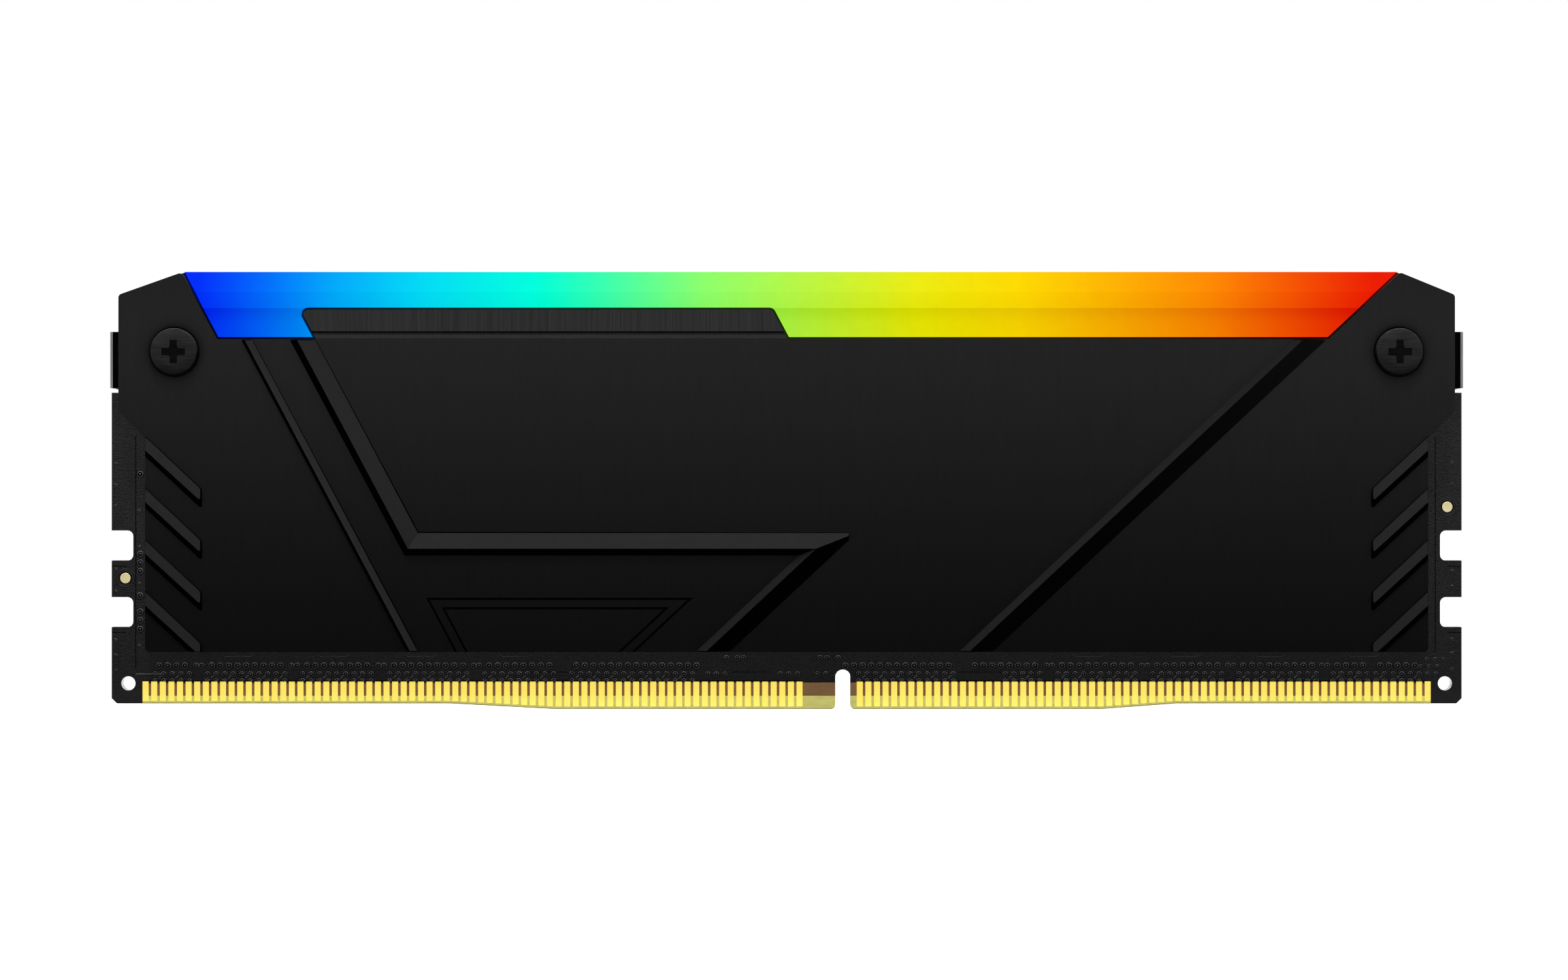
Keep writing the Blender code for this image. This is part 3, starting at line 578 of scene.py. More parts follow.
def groove_cutter(side):
    """A bar across the lip's foot, whose inner edges make a line, a leaning floor and a sloped side."""
    outer, floor_y = side * (SHEET_FACE + CLEAR), side * (SHEET_FACE - GROOVE_DEPTH)
    near, far = sorted((outer, floor_y))
    cutter = add_box("groove_cutter", (GROOVE_LEFT, near, GROOVE_FOOT), (GROOVE_RIGHT, far, GROOVE_TOP))
    slice_level(cutter, GROOVE_LINE)
    slice_level(cutter, GROOVE_FLOOR)

    def is_inner(corner):
        return abs(corner.co.y - floor_y) < NEAR

    select_in(cutter, "VERT", lambda corner: is_inner(corner) and corner.co.z < GROOVE_FLOOR - NEAR)
    bpy.ops.transform.translate(value=(0, side * GROOVE_RUNOUT * GROOVE_DEPTH, 0))
    select_in(cutter, "VERT", lambda corner: is_inner(corner) and corner.co.z > GROOVE_LINE - NEAR)
    bpy.ops.transform.translate(value=(0, side * GROOVE_TILT, 0))
    leave_edit()
    return cutter


print("groove from", GROOVE_FOOT / MM, "to", GROOVE_TOP / MM, "mm")

# %% [markdown]
# ## Engraved lines
# Two nested lines are engraved under the bent ridge and run off the lower edge. One plane with its
# corners on the outer line is inset three times, which gives line, space and line at even widths. The
# faces between are deleted, and the rest is drawn out into a cutter.

# %% Line cutter
STEEP_LEAN = 0.531
WIDE_LEAN = 1.07
FRAME_TOP = 11.06 * MM
FRAME_LEFT = -35.4 * MM
FRAME_RIGHT = -9.2 * MM
FRAME_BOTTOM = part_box("front_heat_spreader")[0].z - 2 * CLEAR
LINE_WIDTH = 0.22 * MM
LINE_DEPTH = 0.12 * MM
LINE_SPACING = 0.7 * MM


def frame_depth(face):
    """How far a face of the nested frames lies inside the outer frame."""
    middle = face.calc_center_median()
    drop = FRAME_TOP - middle.z
    return min(
        drop,
        middle.z - FRAME_BOTTOM,
        (middle.x - FRAME_LEFT - STEEP_LEAN * drop) / math.hypot(1, STEEP_LEAN),
        (FRAME_RIGHT - WIDE_LEAN * drop - middle.x) / math.hypot(1, WIDE_LEAN),
    )


def line_cutter(side):
    """Two nested frames, inset from one plane and drawn through the face of the sheet."""
    drop = FRAME_TOP - FRAME_BOTTOM
    corners = {
        (-1, 1): (FRAME_LEFT, FRAME_TOP),
        (1, 1): (FRAME_RIGHT, FRAME_TOP),
        (1, -1): (FRAME_RIGHT - WIDE_LEAN * drop, FRAME_BOTTOM),
        (-1, -1): (FRAME_LEFT + STEEP_LEAN * drop, FRAME_BOTTOM),
    }
    cutter = add_plane("line_cutter")
    for vertex in cutter.data.vertices:
        x, z = corners[(round(vertex.co.x), round(vertex.co.z))]
        vertex.co = (x, side * (SHEET_FACE - LINE_DEPTH), z)
    select_in(cutter, "FACE", every)
    for width in (LINE_WIDTH, LINE_SPACING, LINE_WIDTH):
        bpy.ops.mesh.inset(thickness=width)
    bpy.ops.mesh.delete(type="FACE")
    between = LINE_WIDTH + LINE_SPACING / 2
    select_in(cutter, "FACE", lambda face: abs(frame_depth(face) - between) < LINE_SPACING / 4)
    bpy.ops.mesh.delete(type="FACE")
    select_in(cutter, "FACE", every)
    draw_out(side * (LINE_DEPTH + CLEAR))
    turn_outward()
    return cutter


print("engraved lines are", LINE_WIDTH / MM, "mm wide and", LINE_DEPTH / MM, "mm deep")

# %% [markdown]
# ## Ridge tip and screw seats
# The bent ridge ends in a blunt tip, and each screw head sits in a shallow round seat. Both are simple
# cuts: a block takes the thin tip off down to the face, and a disc sinks the seat.

# %% Tip and seat cutters
TIP_X = 6.1 * MM
TIP_Z = 17.4 * MM
SEAT_MARGIN = 0.15 * MM
SEAT_DEPTH = 0.12 * MM
HEAD_SIDES = 64


def tip_cutter(side):
    """A block that takes the thin tip off the bent ridge, down to the face."""
    near, far = sorted((side * (SHEET_FACE + SKIM), side * (SHEET_FACE + CLEAR)))
    return add_box("tip_cutter", (TIP_X, near, TIP_Z - CLEAR), (TIP_X + 2 * CLEAR, far, TIP_Z + CLEAR))


def seat_cutter(screw_node):
    """A disc a little wider than a screw's head, sunk into the front face."""
    low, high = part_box(screw_node)
    middle = ((low.x + high.x) / 2, -SHEET_FACE, (low.z + high.z) / 2)
    return add_rod("seat_cutter", middle, (high.z - low.z) / 2 + SEAT_MARGIN, 2 * SEAT_DEPTH, HEAD_SIDES)


print("tip cut at", TIP_X / MM, "mm, seats", SEAT_DEPTH / MM, "mm deep")

# %% [markdown]
# ## Ribs at the sides
# The slanted ribs were pressed from behind: each has a top that tilts up to the light, a thin step at
# its upper side, a wide dark wall below and a blunt round inner end. The top gets the painted paler copy
# of the dye as painted light, and the step, the wall and the end are painted black as shade. A plane is
# drawn out to the slanted strip, two corners are rounded and an inset raises the top. Then the top's
# corners move to tilt it and to slope the walls. An Array repeats the rib down the side, and the last
# one is cut off level. The solid's own plain ribs are pressed back into the face first.

# %% Making room for the ribs
RIB_OUTER = 62.91 * MM
RIB_INNER = 57.36 * MM
RIB_TOP = 25.48 * MM
RIB_RISE = 0.35 * MM


def is_plain_rib(corner):
    """The crests of the solid's plain ribs, at both sides."""
    return abs(corner.co.x) > RIB_INNER - CLEAR and abs(corner.co.y) > SHEET_FACE + RIB_RISE / 2


def press_flat(sheet, side):
    """Presses the plain ribs back into the face, and merges what is left of them with it."""
    pressed = select_in(sheet, "VERT", is_plain_rib)
    bpy.ops.transform.translate(value=(0, -side * RIB_RISE, 0))
    bpy.ops.mesh.select_all(action="SELECT")
    bpy.ops.mesh.dissolve_degenerate(threshold=SKIM)
    bpy.ops.mesh.dissolve_limited(angle_limit=ONE_PLANE)
    leave_edit()
    print("crest corners pressed flat:", pressed)


# %% One side's ribs
RIB_FALL = 5.15 * MM
RIB_PITCH = 5.07 * MM
RIB_COUNT = 4
RIB_TILT = 0.26 * MM
RIB_LIGHT = 1.44 * MM
RIB_SHADE = 0.65 * MM
RIB_LIFT = 0.12 * MM
RIB_WAVER = 0.1
RIB_STEP = 0.08 * MM
RIB_ROUND = 0.22 * MM
RIB_BLUNT = 0.4 * MM
RIB_END = 0.12 * MM
RIB_CURL = 0.55 * MM
RIB_FOOT = 5.8 * MM
RIB_ROOT = 0.3 * MM
RIB_SINK = 0.02 * MM


def place_on_top(vertex):
    """Moves a corner of a rib's top: onto the crest, back from the blunt end, and into the tilted plane."""
    along = (vertex.co.x + RIB_OUTER) / (RIB_OUTER - RIB_INNER)
    end = max(0, (vertex.co.x + RIB_INNER + 2 * RIB_ROUND) / (2 * RIB_ROUND))
    above = vertex.co.z - (RIB_TOP - RIB_FALL * along)
    if above < RIB_LIFT:
        above = RIB_LIFT + (above - RIB_LIFT) * RIB_WAVER + RIB_CURL * end ** 2
    if vertex.co.x < -RIB_OUTER + 2 * RIB_STEP:
        vertex.co.x = -RIB_OUTER
        along = 0
    vertex.co.z = RIB_TOP - RIB_FALL * along + above
    vertex.co.x -= RIB_END * end
    vertex.co.y = -SHEET_FACE - RIB_RISE + RIB_TILT * above / RIB_LIGHT


def make_ribs(hand, side):
    """The ribs of one side: made at the front left, then mirrored to where they belong."""
    ribs = add_plane("ribs")
    for vertex in ribs.data.vertices:
        inner = vertex.co.x > 0
        reach = RIB_LIGHT if vertex.co.z > 0 else -RIB_SHADE
        z = RIB_TOP + reach - (RIB_FALL if inner else 0)
        vertex.co = (-RIB_INNER if inner else -RIB_OUTER, RIB_ROOT - SHEET_FACE, z)
    end_z = RIB_TOP - RIB_FALL
    select_in(ribs, "VERT", lambda corner: corner.co.x > -RIB_INNER - RIB_STEP and corner.co.z > end_z)
    bpy.ops.mesh.bevel(offset=RIB_ROUND, segments=3, affect="VERTICES")
    select_in(ribs, "VERT", lambda corner: corner.co.x > -RIB_INNER - RIB_STEP and corner.co.z < end_z)
    bpy.ops.mesh.bevel(offset=RIB_BLUNT, segments=3, affect="VERTICES")
    select_in(ribs, "FACE", every)
    draw_out(RIB_SINK - RIB_ROOT)
    bpy.ops.mesh.inset(thickness=RIB_STEP, depth=RIB_RISE + RIB_SINK)
    leave_edit()
    for vertex in ribs.data.vertices:
        if vertex.co.y < -SHEET_FACE - RIB_RISE / 2:
            place_on_top(vertex)
    repeat(ribs, RIB_COUNT, (0, 0, -RIB_PITCH))
    slice_level(ribs, RIB_FOOT, use_fill=True, clear_inner=True)
    bpy.ops.mesh.select_all(action="SELECT")
    bpy.ops.transform.resize(value=(-hand, -side, 1), center_override=(0, 0, 0))
    turn_outward()
    return ribs


print("ribs at each side:", RIB_COUNT)

# %% [markdown]
# ## Which edges and faces of a sheet
# A ridge meets the face in a crease, so creases get a bevel of their own, and so do the lower corners and
# the bent tabs. The crease bevels are painted black as a fine line of painted shade. The finishes go by
# face: place, height and slope tell a lip from a ridge and a lit slope from a shaded one, which get
# painted paler and darker copies of the dye. Cut floors stay rough, and they, tab ends and slopes that
# look down are painted black as shade.

# %% Choosing edges
EDGE_BREAK = 0.05 * MM
CREASE = 0.072 * MM
TAB_ROUND = 0.3 * MM
TAB_END = -2.0 * MM
TAB_X = 66.2 * MM
CORNER_ROUND = 0.4 * MM
CORNER_X = 62.9 * MM
CORNER_Z = 5.8 * MM
FACING = 0.9
LOOKING_UP = 0.05


def is_lower_corner(edge):
    """The two edges through the sheet at its lower corners."""
    middle = edge_middle(edge)
    return abs(edge_way(edge).y) > FACING and abs(middle.x) > CORNER_X and middle.z < CORNER_Z


def is_tab_edge(edge):
    """The upright outer edges at the folded ends of the rear sheet's tabs."""
    middle = edge_middle(edge)
    upright = abs(edge_way(edge).z) > FACING
    return upright and abs(middle.x) > TAB_X and abs(middle.y - TAB_END) < EDGE_BREAK


def is_crease(edge):
    """The upper foot of a ridge: where the flat face turns into a slope that looks up."""
    middle = edge_middle(edge)
    off_face = abs(abs(middle.y) - SHEET_FACE) > SKIM
    if len(edge.link_faces) != 2 or off_face or middle.z > GROOVE_FOOT - CREASE:
        return False
    flat, slope = sorted(edge.link_faces, key=lambda face: abs(face.normal.z))
    is_slope = slope.normal.z > LOOKING_UP and 0.8 < abs(slope.normal.y) < 0.98
    return abs(flat.normal.y) > 0.999 and is_slope


print("crease width in mm:", CREASE / MM)

# %% Choosing finishes
EAR_SIDE = 65.7 * MM
GENTLE = 0.85
RIGHT_RIDGE = 15 * MM
SHEET_FINISHES = (black_sheet, brushed_lip, polished_edge, painted_shade_black, painted_lit_slope, painted_steep_shade, shaded_side)
PLAIN, LIP, POLISHED, SHADE_BLACK, LIT_SLOPE, STEEP, SHADED = range(len(SHEET_FINISHES))


def sheet_finish(polygon):
    """The finish of a face of the sheet, by its place, its height over the face and its slope."""
    x, y, z = polygon.center
    nx, ny, nz = polygon.normal
    flat = abs(ny) > FACING
    rise = abs(y) - SHEET_FACE
    if abs(x) > TAB_X and y < TAB_END + TAB_ROUND and abs(nx) > 0.1:
        return POLISHED
    # The set-back ends of the tabs are painted black as shade.
    if flat and abs(x) > EAR_SIDE and abs(y - TAB_END) < EDGE_BREAK:
        return SHADE_BLACK
    # Floors of the engraved lines and of the screw seats are painted black as shade.
    if abs(ny) > 0.99 and -2 * LINE_DEPTH < rise < -LINE_DEPTH / 2:
        return SHADE_BLACK
    if z > GROOVE_FLOOR and GROOVE_LEFT < x < GROOVE_RIGHT:
        return LIP
    # The crease strips are painted black as a fine line of painted shade.
    if -SKIM < rise < CREASE and 0.94 < abs(ny) < 0.998:
        return SHADE_BLACK
    if rise < 2 * SKIM:
        return PLAIN
    # Rib tops get the painted lit copy, and the other faces of a rib are painted black as shade.
    if abs(x) > RIB_INNER - RIB_END and z < RIB_TOP + 2 * CLEAR:
        return LIT_SLOPE if flat and nz > LOOKING_UP else SHADE_BLACK
    gentle = abs(ny) > GENTLE
    # Slopes that look down are painted black as shade, or get the shaded copy on the right ridge.
    if nz < -LOOKING_UP:
        return SHADED if gentle and x > RIGHT_RIDGE else SHADE_BLACK
    # Slopes that look up get the painted lit copy when gentle, and the darker painted steep copy when steep.
    if nz > LOOKING_UP:
        return LIT_SLOPE if gentle else STEEP
    return PLAIN


print("finishes on a sheet:", len(SHEET_FINISHES))

# %% [markdown]
# ## Heat spreaders
# Each sheet starts as a copy of its solid, which already has the ridges. The cutters go in first, then
# the chosen edges are bevelled, and all sharp edges are broken a little, as tumbling does. The ribs are
# joined on last, so that their thin steps keep their own edges.

# %% Front and rear sheets
SHARP = 25

for face_name, side in SIDES:
    node = f"{face_name}_heat_spreader"
    sheet = cad_copy(node, f"{face_name}_ridged_sheet")
    press_flat(sheet, side)
    cut(sheet, groove_cutter(side))
    cut(sheet, line_cutter(side))
    if face_name == "front":
        cut(sheet, seat_cutter("left_screw"))
        cut(sheet, seat_cutter("right_screw"))
    bevel_where(sheet, is_tab_edge, TAB_ROUND, 4)
    bevel_where(sheet, is_lower_corner, CORNER_ROUND, 4)
    creases = bevel_where(sheet, is_crease, CREASE, 1)
    leave_edit()
    break_edges(sheet, EDGE_BREAK, SHARP)
    cut(sheet, tip_cutter(side))
    for hand in (-1, 1):
        add_on(sheet, make_ribs(hand, side))
    dress(sheet, "sheet", [node], *SHEET_FINISHES)
    finish_faces(sheet, sheet_finish)
    print("creases:", creases)

# %% [markdown]
# ## Glow of the light bar
# The bar is milky plastic with lamps behind it that sweep from blue to red. The sweep is a colour ramp
# along X with one stop for each colour of lamp, mixed in screen values, in which the eye sees even
# steps, and then turned into light by a Gamma node. The facets' shape is painted in as shade: the upper
# roof facet glows most, and a painted shade by height is taken off the lower one and the upright face
# under its crease. The rounded rim, the ends behind the ears and the core inside get painted shade as
# well, so the same ramp is used at four strengths, chosen by facet.

# %% Glow finishes
BAR_HALF = 60.0 * MM
SILL = 36.45 * MM
BAR_TOP = 43.15 * MM
SWEEP = {
    "blue": (-58, (5, 50, 252)),
    "azure": (-45, (5, 165, 250)),
    "sky": (-36, (5, 217, 245)),
    "aqua": (-25, (5, 254, 220)),
    "lime": (-8, (141, 255, 107)),
    "lemon": (13, (236, 235, 24)),
    "amber": (23, (254, 216, 5)),
    "orange": (42, (254, 135, 5)),
    "red": (58, (236, 33, 5)),
}
SCREEN_GAMMA = 2.2
# Where the steps of the painted facet shade fall.
UPRIGHT_TOP = 39.5 * MM
ROOF_BREAK = 41.1 * MM
STEP = 0.004
TURN = 0.21


def glow_finish(name, strength):
    """Lit plastic: the sweep along X with a painted shade by height, at one strength."""
    material = new_finish(name, {"Roughness": 0.9, "Specular IOR Level": 0.02, "Emission Strength": strength})
    stops = []
    for x, colour in SWEEP.values():
        stops.append(((x * MM + BAR_HALF) / (2 * BAR_HALF), [c / 255 for c in colour]))
    even_steps = shades(material, along_axis(material, "X", -BAR_HALF, BAR_HALF), *stops)
    crease, roof_break = ((z - SILL) / (BAR_TOP - SILL) for z in (UPRIGHT_TOP, ROOF_BREAK))
    painted_facet_shade = shades(
        material,
        along_axis(material, "Z", SILL, BAR_TOP),
        (0.0, 0.036),
        (crease - TURN, 0.046),
        (crease - STEP, 0.092),
        (crease + STEP, 0.028),
        (roof_break - STEP, 0.012),
        (roof_break + STEP, 0.0),
    )
    dimmed = mixed(material, "SUBTRACT", even_steps, painted_facet_shade, clamp_result=True)
    sweep = add_node(material, "Gamma", {"Color": dimmed, "Gamma": SCREEN_GAMMA})
    cloud = shades(material, noise(material, 900, detail=2), (0.3, 0.97), (0.7, 1.0))
    clouded = mixed(material, "MULTIPLY", sweep.outputs["Color"], cloud)
    connect(material, shader_of(material), {
        "Emission Color": clouded,
        "Base Color": mixed(material, "MIX", clouded, (0, 0, 0, 1), 0.995),
    })
    return material


# One glow at full strength, and three weaker copies as painted shade: rim, walls in the gap and core.
glowing = glow_finish("glowing_plastic", 1.0)
shaded_rim_glow = glow_finish("shaded_rim_glow", 0.35)
shaded_wall_glow = glow_finish("shaded_wall_glow", 0.1)
shaded_core_glow = glow_finish("shaded_core_glow", 0.02)
print("sweep colours:", ", ".join(SWEEP))

# %% [markdown]
# ## Light bar
# The diffuser is moulded in one piece, so its edges are round. The roof's ends are drawn out a little to
# meet the ears, and a bevel by angle rounds all of the rim at once.

# %% Light bar piece
RIM_ROUND = 0.16 * MM
RIM_SHARP = 40
CORE_HALF = 2.25 * MM
END_HALF = 1.25 * MM
ROOF_EDGE = 43.1 * MM
ROOF_REACH = 0.14 * MM
# FACE_GLOW is the full glow; the other three are painted shade.
FACE_GLOW, RIM_GLOW, WALL_GLOW, CORE_GLOW = range(4)


def bar_finish(polygon):
    """Which strength a facet glows at: full on faces, less as painted shade on rim, ends, gap walls and core.
    """
    x, y, z = polygon.center
    nx, ny, nz = polygon.normal
    if abs(y) < CORE_HALF and z < UPRIGHT_TOP + RIM_ROUND * 4:
        return CORE_GLOW
    if abs(y) < END_HALF and nz < 0.5:
        return WALL_GLOW
    if abs(ny) < 0.1 and nz < 0.1:
        return WALL_GLOW
    if abs(nx) > 0.15 or nz < -0.15:
        return RIM_GLOW if abs(ny) > 0.6 else WALL_GLOW
    return FACE_GLOW


bar = cad_copy("light_bar", "glowing_bar")
for hand in (-1, 1):
    select_in(bar, "VERT", lambda corner: corner.co.z > ROOF_EDGE and corner.co.x * hand > 0)
    bpy.ops.transform.translate(value=(hand * ROOF_REACH, 0, 0))
leave_edit()
break_edges(bar, RIM_ROUND, RIM_SHARP)
dress(bar, "lit_plastic", ["light_bar"], glowing, shaded_rim_glow, shaded_wall_glow, shaded_core_glow)
finish_faces(bar, bar_finish)

# %% [markdown]
# ## Screws
# Two flat-headed screws with a cross recess hold the sheets and the bar together. Their heads are
# turned, blackened and finely brushed. Each starts as a cylinder: the rim is bevelled, the underside
# is inset and drawn out into the shank, and the recess is cut with a cross whose inner corners are
# rounded, as the punch leaves them.

# %% Blackened steel
black_steel = grained(
    "blackened_steel", {"Specular IOR Level": 0.05}, 7000, (0.05, 1, 1), 5,
    colours=((0.32, 0.0045), (0.5, 0.008), (0.68, 0.0125)),
    roughness=((0.3, 0.5), (0.7, 0.36)), bump=(0.3, 0.02 * MM),
)
# The cross recess gets a darker copy of the steel: painted shade in the recess.
painted_recess_shade = grained(
    "painted_recess_shade", {"Roughness": 0.6, "Specular IOR Level": 0.01}, 7000, (0.05, 1, 1), 5,
    colours=((0.3, 0.0015), (0.7, 0.0032)), bump=(0.2, 0.02 * MM),
)

# %% Cross recess
HEAD_HEIGHT = 0.65 * MM
RECESS_SPAN = 2.3 * MM
RECESS_ARM = 0.7 * MM
RECESS_DEPTH = 0.4 * MM
RECESS_ROUND = 0.22 * MM
RECESS_LIP = 0.02 * MM


def is_inner_corner(edge, x, z):
    middle = edge_middle(edge)
    reach = RECESS_ARM / 2 + NEAR
    return abs(edge_way(edge).y) > FACING and abs(middle.x - x) < reach and abs(middle.z - z) < reach


def recess_cutter(x, face_y, z):
    """A cross: a square block whose four sides are drawn out, with its inner corners rounded."""
    half = RECESS_ARM / 2
    low, high = (x - half, face_y - CLEAR, z - half), (x + half, face_y + RECESS_DEPTH, z + half)
    cutter = add_box("recess_cutter", low, high)
    select_in(cutter, "FACE", lambda face: abs(face.normal.y) < 0.5)
    bpy.ops.mesh.extrude_faces_move(
        TRANSFORM_OT_shrink_fatten={"value": (RECESS_SPAN - RECESS_ARM) / 2}
    )
    bevel_where(cutter, lambda edge: is_inner_corner(edge, x, z), RECESS_ROUND, 3)
    bpy.ops.mesh.select_all(action="SELECT")
    bpy.ops.mesh.remove_doubles(threshold=MERGE)
    turn_outward()
    return cutter


def is_in_recess(polygon, centre, face_y):
    """The walls and the floor of the cross."""
    off = Vector((polygon.center.x - centre.x, polygon.center.z - centre.z))
    sunk = face_y + RECESS_LIP < polygon.center.y < face_y + HEAD_HEIGHT
    return off.length < RECESS_SPAN / 2 and sunk


print("recess span in mm:", RECESS_SPAN / MM)

# %% Screw pieces
HEAD_CHAMFER = 0.25 * MM
SHANK_RADIUS = 1.0 * MM
SHANK_BREAK = 0.2 * MM

for side_name in ("left", "right"):
    node = f"{side_name}_screw"
    low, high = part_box(node)
    centre = (low + high) / 2
    radius = (high.z - low.z) / 2
    head_middle = (centre.x, low.y + HEAD_HEIGHT / 2, centre.z)
    screw = add_rod(f"{side_name}_cross_screw", head_middle, radius, HEAD_HEIGHT, HEAD_SIDES)
    bevel_where(screw, lambda edge: edge_middle(edge).y < low.y + NEAR, HEAD_CHAMFER, 2)
    select_in(screw, "FACE", lambda face: face.normal.y > FACING)
    bpy.ops.mesh.inset(thickness=radius - SHANK_RADIUS)
    draw_out(high.y - low.y - HEAD_HEIGHT)
    bpy.ops.mesh.bevel(offset=SHANK_BREAK, segments=1, affect="EDGES")
    leave_edit()
    cut(screw, recess_cutter(centre.x, low.y, centre.z))
    only(screw)
    bpy.ops.object.shade_smooth_by_angle(angle=math.radians(SHARP))
    dress(screw, "screw", [node], black_steel, painted_recess_shade)
    finish_faces(screw, lambda polygon: int(is_in_recess(polygon, centre, low.y)))

# %% [markdown]
# ## Mask of the board
# The card is glass-epoxy laminate under a black solder mask. Mask is a thick paint that dries like fine
# leather. It is smooth at the lower corners and stretched thin and paler over copper, so it gets three
# finishes. The leather's relief and its gloss come from two noises of unlike size.

# %% Mask finishes
solder_mask = grained(
    "black_solder_mask", {"Specular IOR Level": 0.015}, 8200, (0.85, 1, 1), 2,
    colours=((0.3, 0.009), (0.7, 0.017)), bump=(0.75, 0.07 * MM),
)
cloth = shades(solder_mask, noise(solder_mask, 1500, detail=2), (0.3, 0.38), (0.7, 0.55))
connect(solder_mask, shader_of(solder_mask), {"Roughness": cloth})
thin_mask = grained(
    "mask_over_copper", {"Specular IOR Level": 0.015}, 6200, EVEN, 2,
    colours=((0.3, 0.03), (0.7, 0.046)), roughness=((0.3, 0.3), (0.7, 0.42)),
)
smooth_mask = grained(
    "smooth_mask", {"Specular IOR Level": 0.03}, 1500, EVEN, 2,
    colours=((0.3, 0.012), (0.7, 0.015)), roughness=((0.3, 0.4), (0.7, 0.5)),
)

# %% [markdown]
# ## Bare parts of the board
# The mask stops above the contacts: there the bare laminate shows brown, and lower down pale where the
# edge was ground thin for the socket. Both show the glass cloth as short level threads. The two holes
# at the corners are plated. Colours are given as a screen shows them and turned into linear light.

# %% Laminate, ground edge and plated holes
def tint(red, green, blue):
    """Linear light from the 0 to 255 values that a screen shows."""
    return tuple(
        ((c / 255 + 0.055) / 1.055) ** 2.4 if c > 10 else c / 255 / 12.92 for c in (red, green, blue)
    )


plated_hole = grained(
    "plated_hole", {"Metallic": 1.0}, 5000, (1, 0.2, 1), 3,
    colours=((0.35, 0.4), (0.65, 0.75)), roughness=((0.3, 0.3), (0.7, 0.45)),
)
bare_laminate = grained(
    "bare_laminate", {"Roughness": 0.55, "Specular IOR Level": 0.2}, 2600, (0.3, 1, 1), 3,
    colours=((0.3, tint(120, 90, 59)), (0.7, tint(131, 100, 67))), bump=(0.2, 0.02 * MM),
)
ground_edge = grained(
    "ground_edge", {"Roughness": 0.6, "Specular IOR Level": 0.2}, 3400, (0.25, 1, 1), 3,
    colours=((0.3, tint(215, 208, 117)), (0.7, tint(229, 223, 133))), bump=(0.2, 0.02 * MM),
)

# %% [markdown]
# ## Gaps between copper areas
# Where two copper areas end, the mask sinks between them, and the floor of the cut is painted black as
# the shade of a dark line. The gaps could be drawn in the finish, but as shallow cuts they also show from
# the side. All bars of a face are joined, so that one boolean cuts them.

# %% Gap cutter
GAP_DEPTH = 0.04 * MM
GAP_WIDTH = 0.08 * MM
ROW_GAP = 1.5 * GAP_WIDTH
LEVEL_GAPS = (
    (-23.6, 3.64, 4.0), (-3.6, 3.64, 3.6), (19.1, 3.64, 4.2),
    (-65.95, 14.1, 1.4), (-65.95, 7.55, 1.4), (65.95, 14.1, 1.4), (65.95, 7.55, 1.4),
)
UPRIGHT_GAPS = ((-64.3, 4.0, 27.0), (64.08, 5.6, 27.0))


def gap_cutter(side):
    """Thin bars, joined into one cutter: level and upright gaps, and one above each row of contacts."""
    near, far = sorted((side * (board_high.y - GAP_DEPTH), side * (board_high.y + GAP_DEPTH)))
    half = GAP_WIDTH / 2
    bars = []
    for x, z, length in LEVEL_GAPS:
        low = ((x - length / 2) * MM, near, z * MM - half)
        bars.append(add_box("gap", low, ((x + length / 2) * MM, far, z * MM + half)))
    for x, bottom, top in UPRIGHT_GAPS:
        bars.append(add_box("gap", (x * MM - half, near, bottom * MM), (x * MM + half, far, top * MM)))
    for hand in ("left", "right"):
        low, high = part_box(f"front_{hand}_contacts")
        top = high.z + ROW_GAP
        bars.append(add_box("gap", (low.x - half, near, high.z + SKIM), (high.x + half, far, top)))
    return joined(bars)


print("gaps on each face:", len(LEVEL_GAPS) + len(UPRIGHT_GAPS) + 2)

# %% [markdown]
# ## Board
# The copy of the solid is bisected along the borders of mask, laminate and ground edge, so each band is
# a face of its own with its own finish, and the lower edge is bevelled as the grinding leaves it.

# %% Board piece
MASK_BOTTOM = 2.62 * MM
SMOOTH_TOP = 1.89 * MM
GROUND_TOP = 1.31 * MM
MASK_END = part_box("front_right_contacts")[1].x
GROUND_BEVEL = 0.08 * MM
LOWEST_EDGE = 0.56 * MM
HOLE_X = 65.0 * MM
HOLE_Z = 2.53 * MM
HOLE_REACH = 0.9 * MM
BOARD_FINISHES = (solder_mask, bare_laminate, ground_edge, smooth_mask, plated_hole, painted_shade_black)
MASK, LAMINATE, GROUND, SMOOTH, HOLE, GAP = range(len(BOARD_FINISHES))


def is_card_edge(edge):
    """The long lower edges of both faces, along the contacts."""
    low_enough = all(corner.co.z < LOWEST_EDGE for corner in edge.verts)
    level = abs(edge_way(edge).x) > FACING
    return low_enough and level and abs(abs(edge_middle(edge).y) - board_high.y) < NEAR


def board_finish(polygon):
    """The finish of a face of the board, by its place."""
    x, y, z = polygon.center
    ny = abs(polygon.normal.y)
    # Floors of the gap cuts are painted black as shade.
    if z > MASK_BOTTOM and ny > FACING and abs(y) < board_high.y - GAP_DEPTH / 2:
        return GAP
    if abs(x) > MASK_END:
        if ny < 0.5 and math.hypot(abs(x) - HOLE_X, z - HOLE_Z) < HOLE_REACH:
            return HOLE
        return SMOOTH if z < SMOOTH_TOP else MASK
    if z > MASK_BOTTOM:
        return MASK
    return LAMINATE if z > GROUND_TOP else GROUND


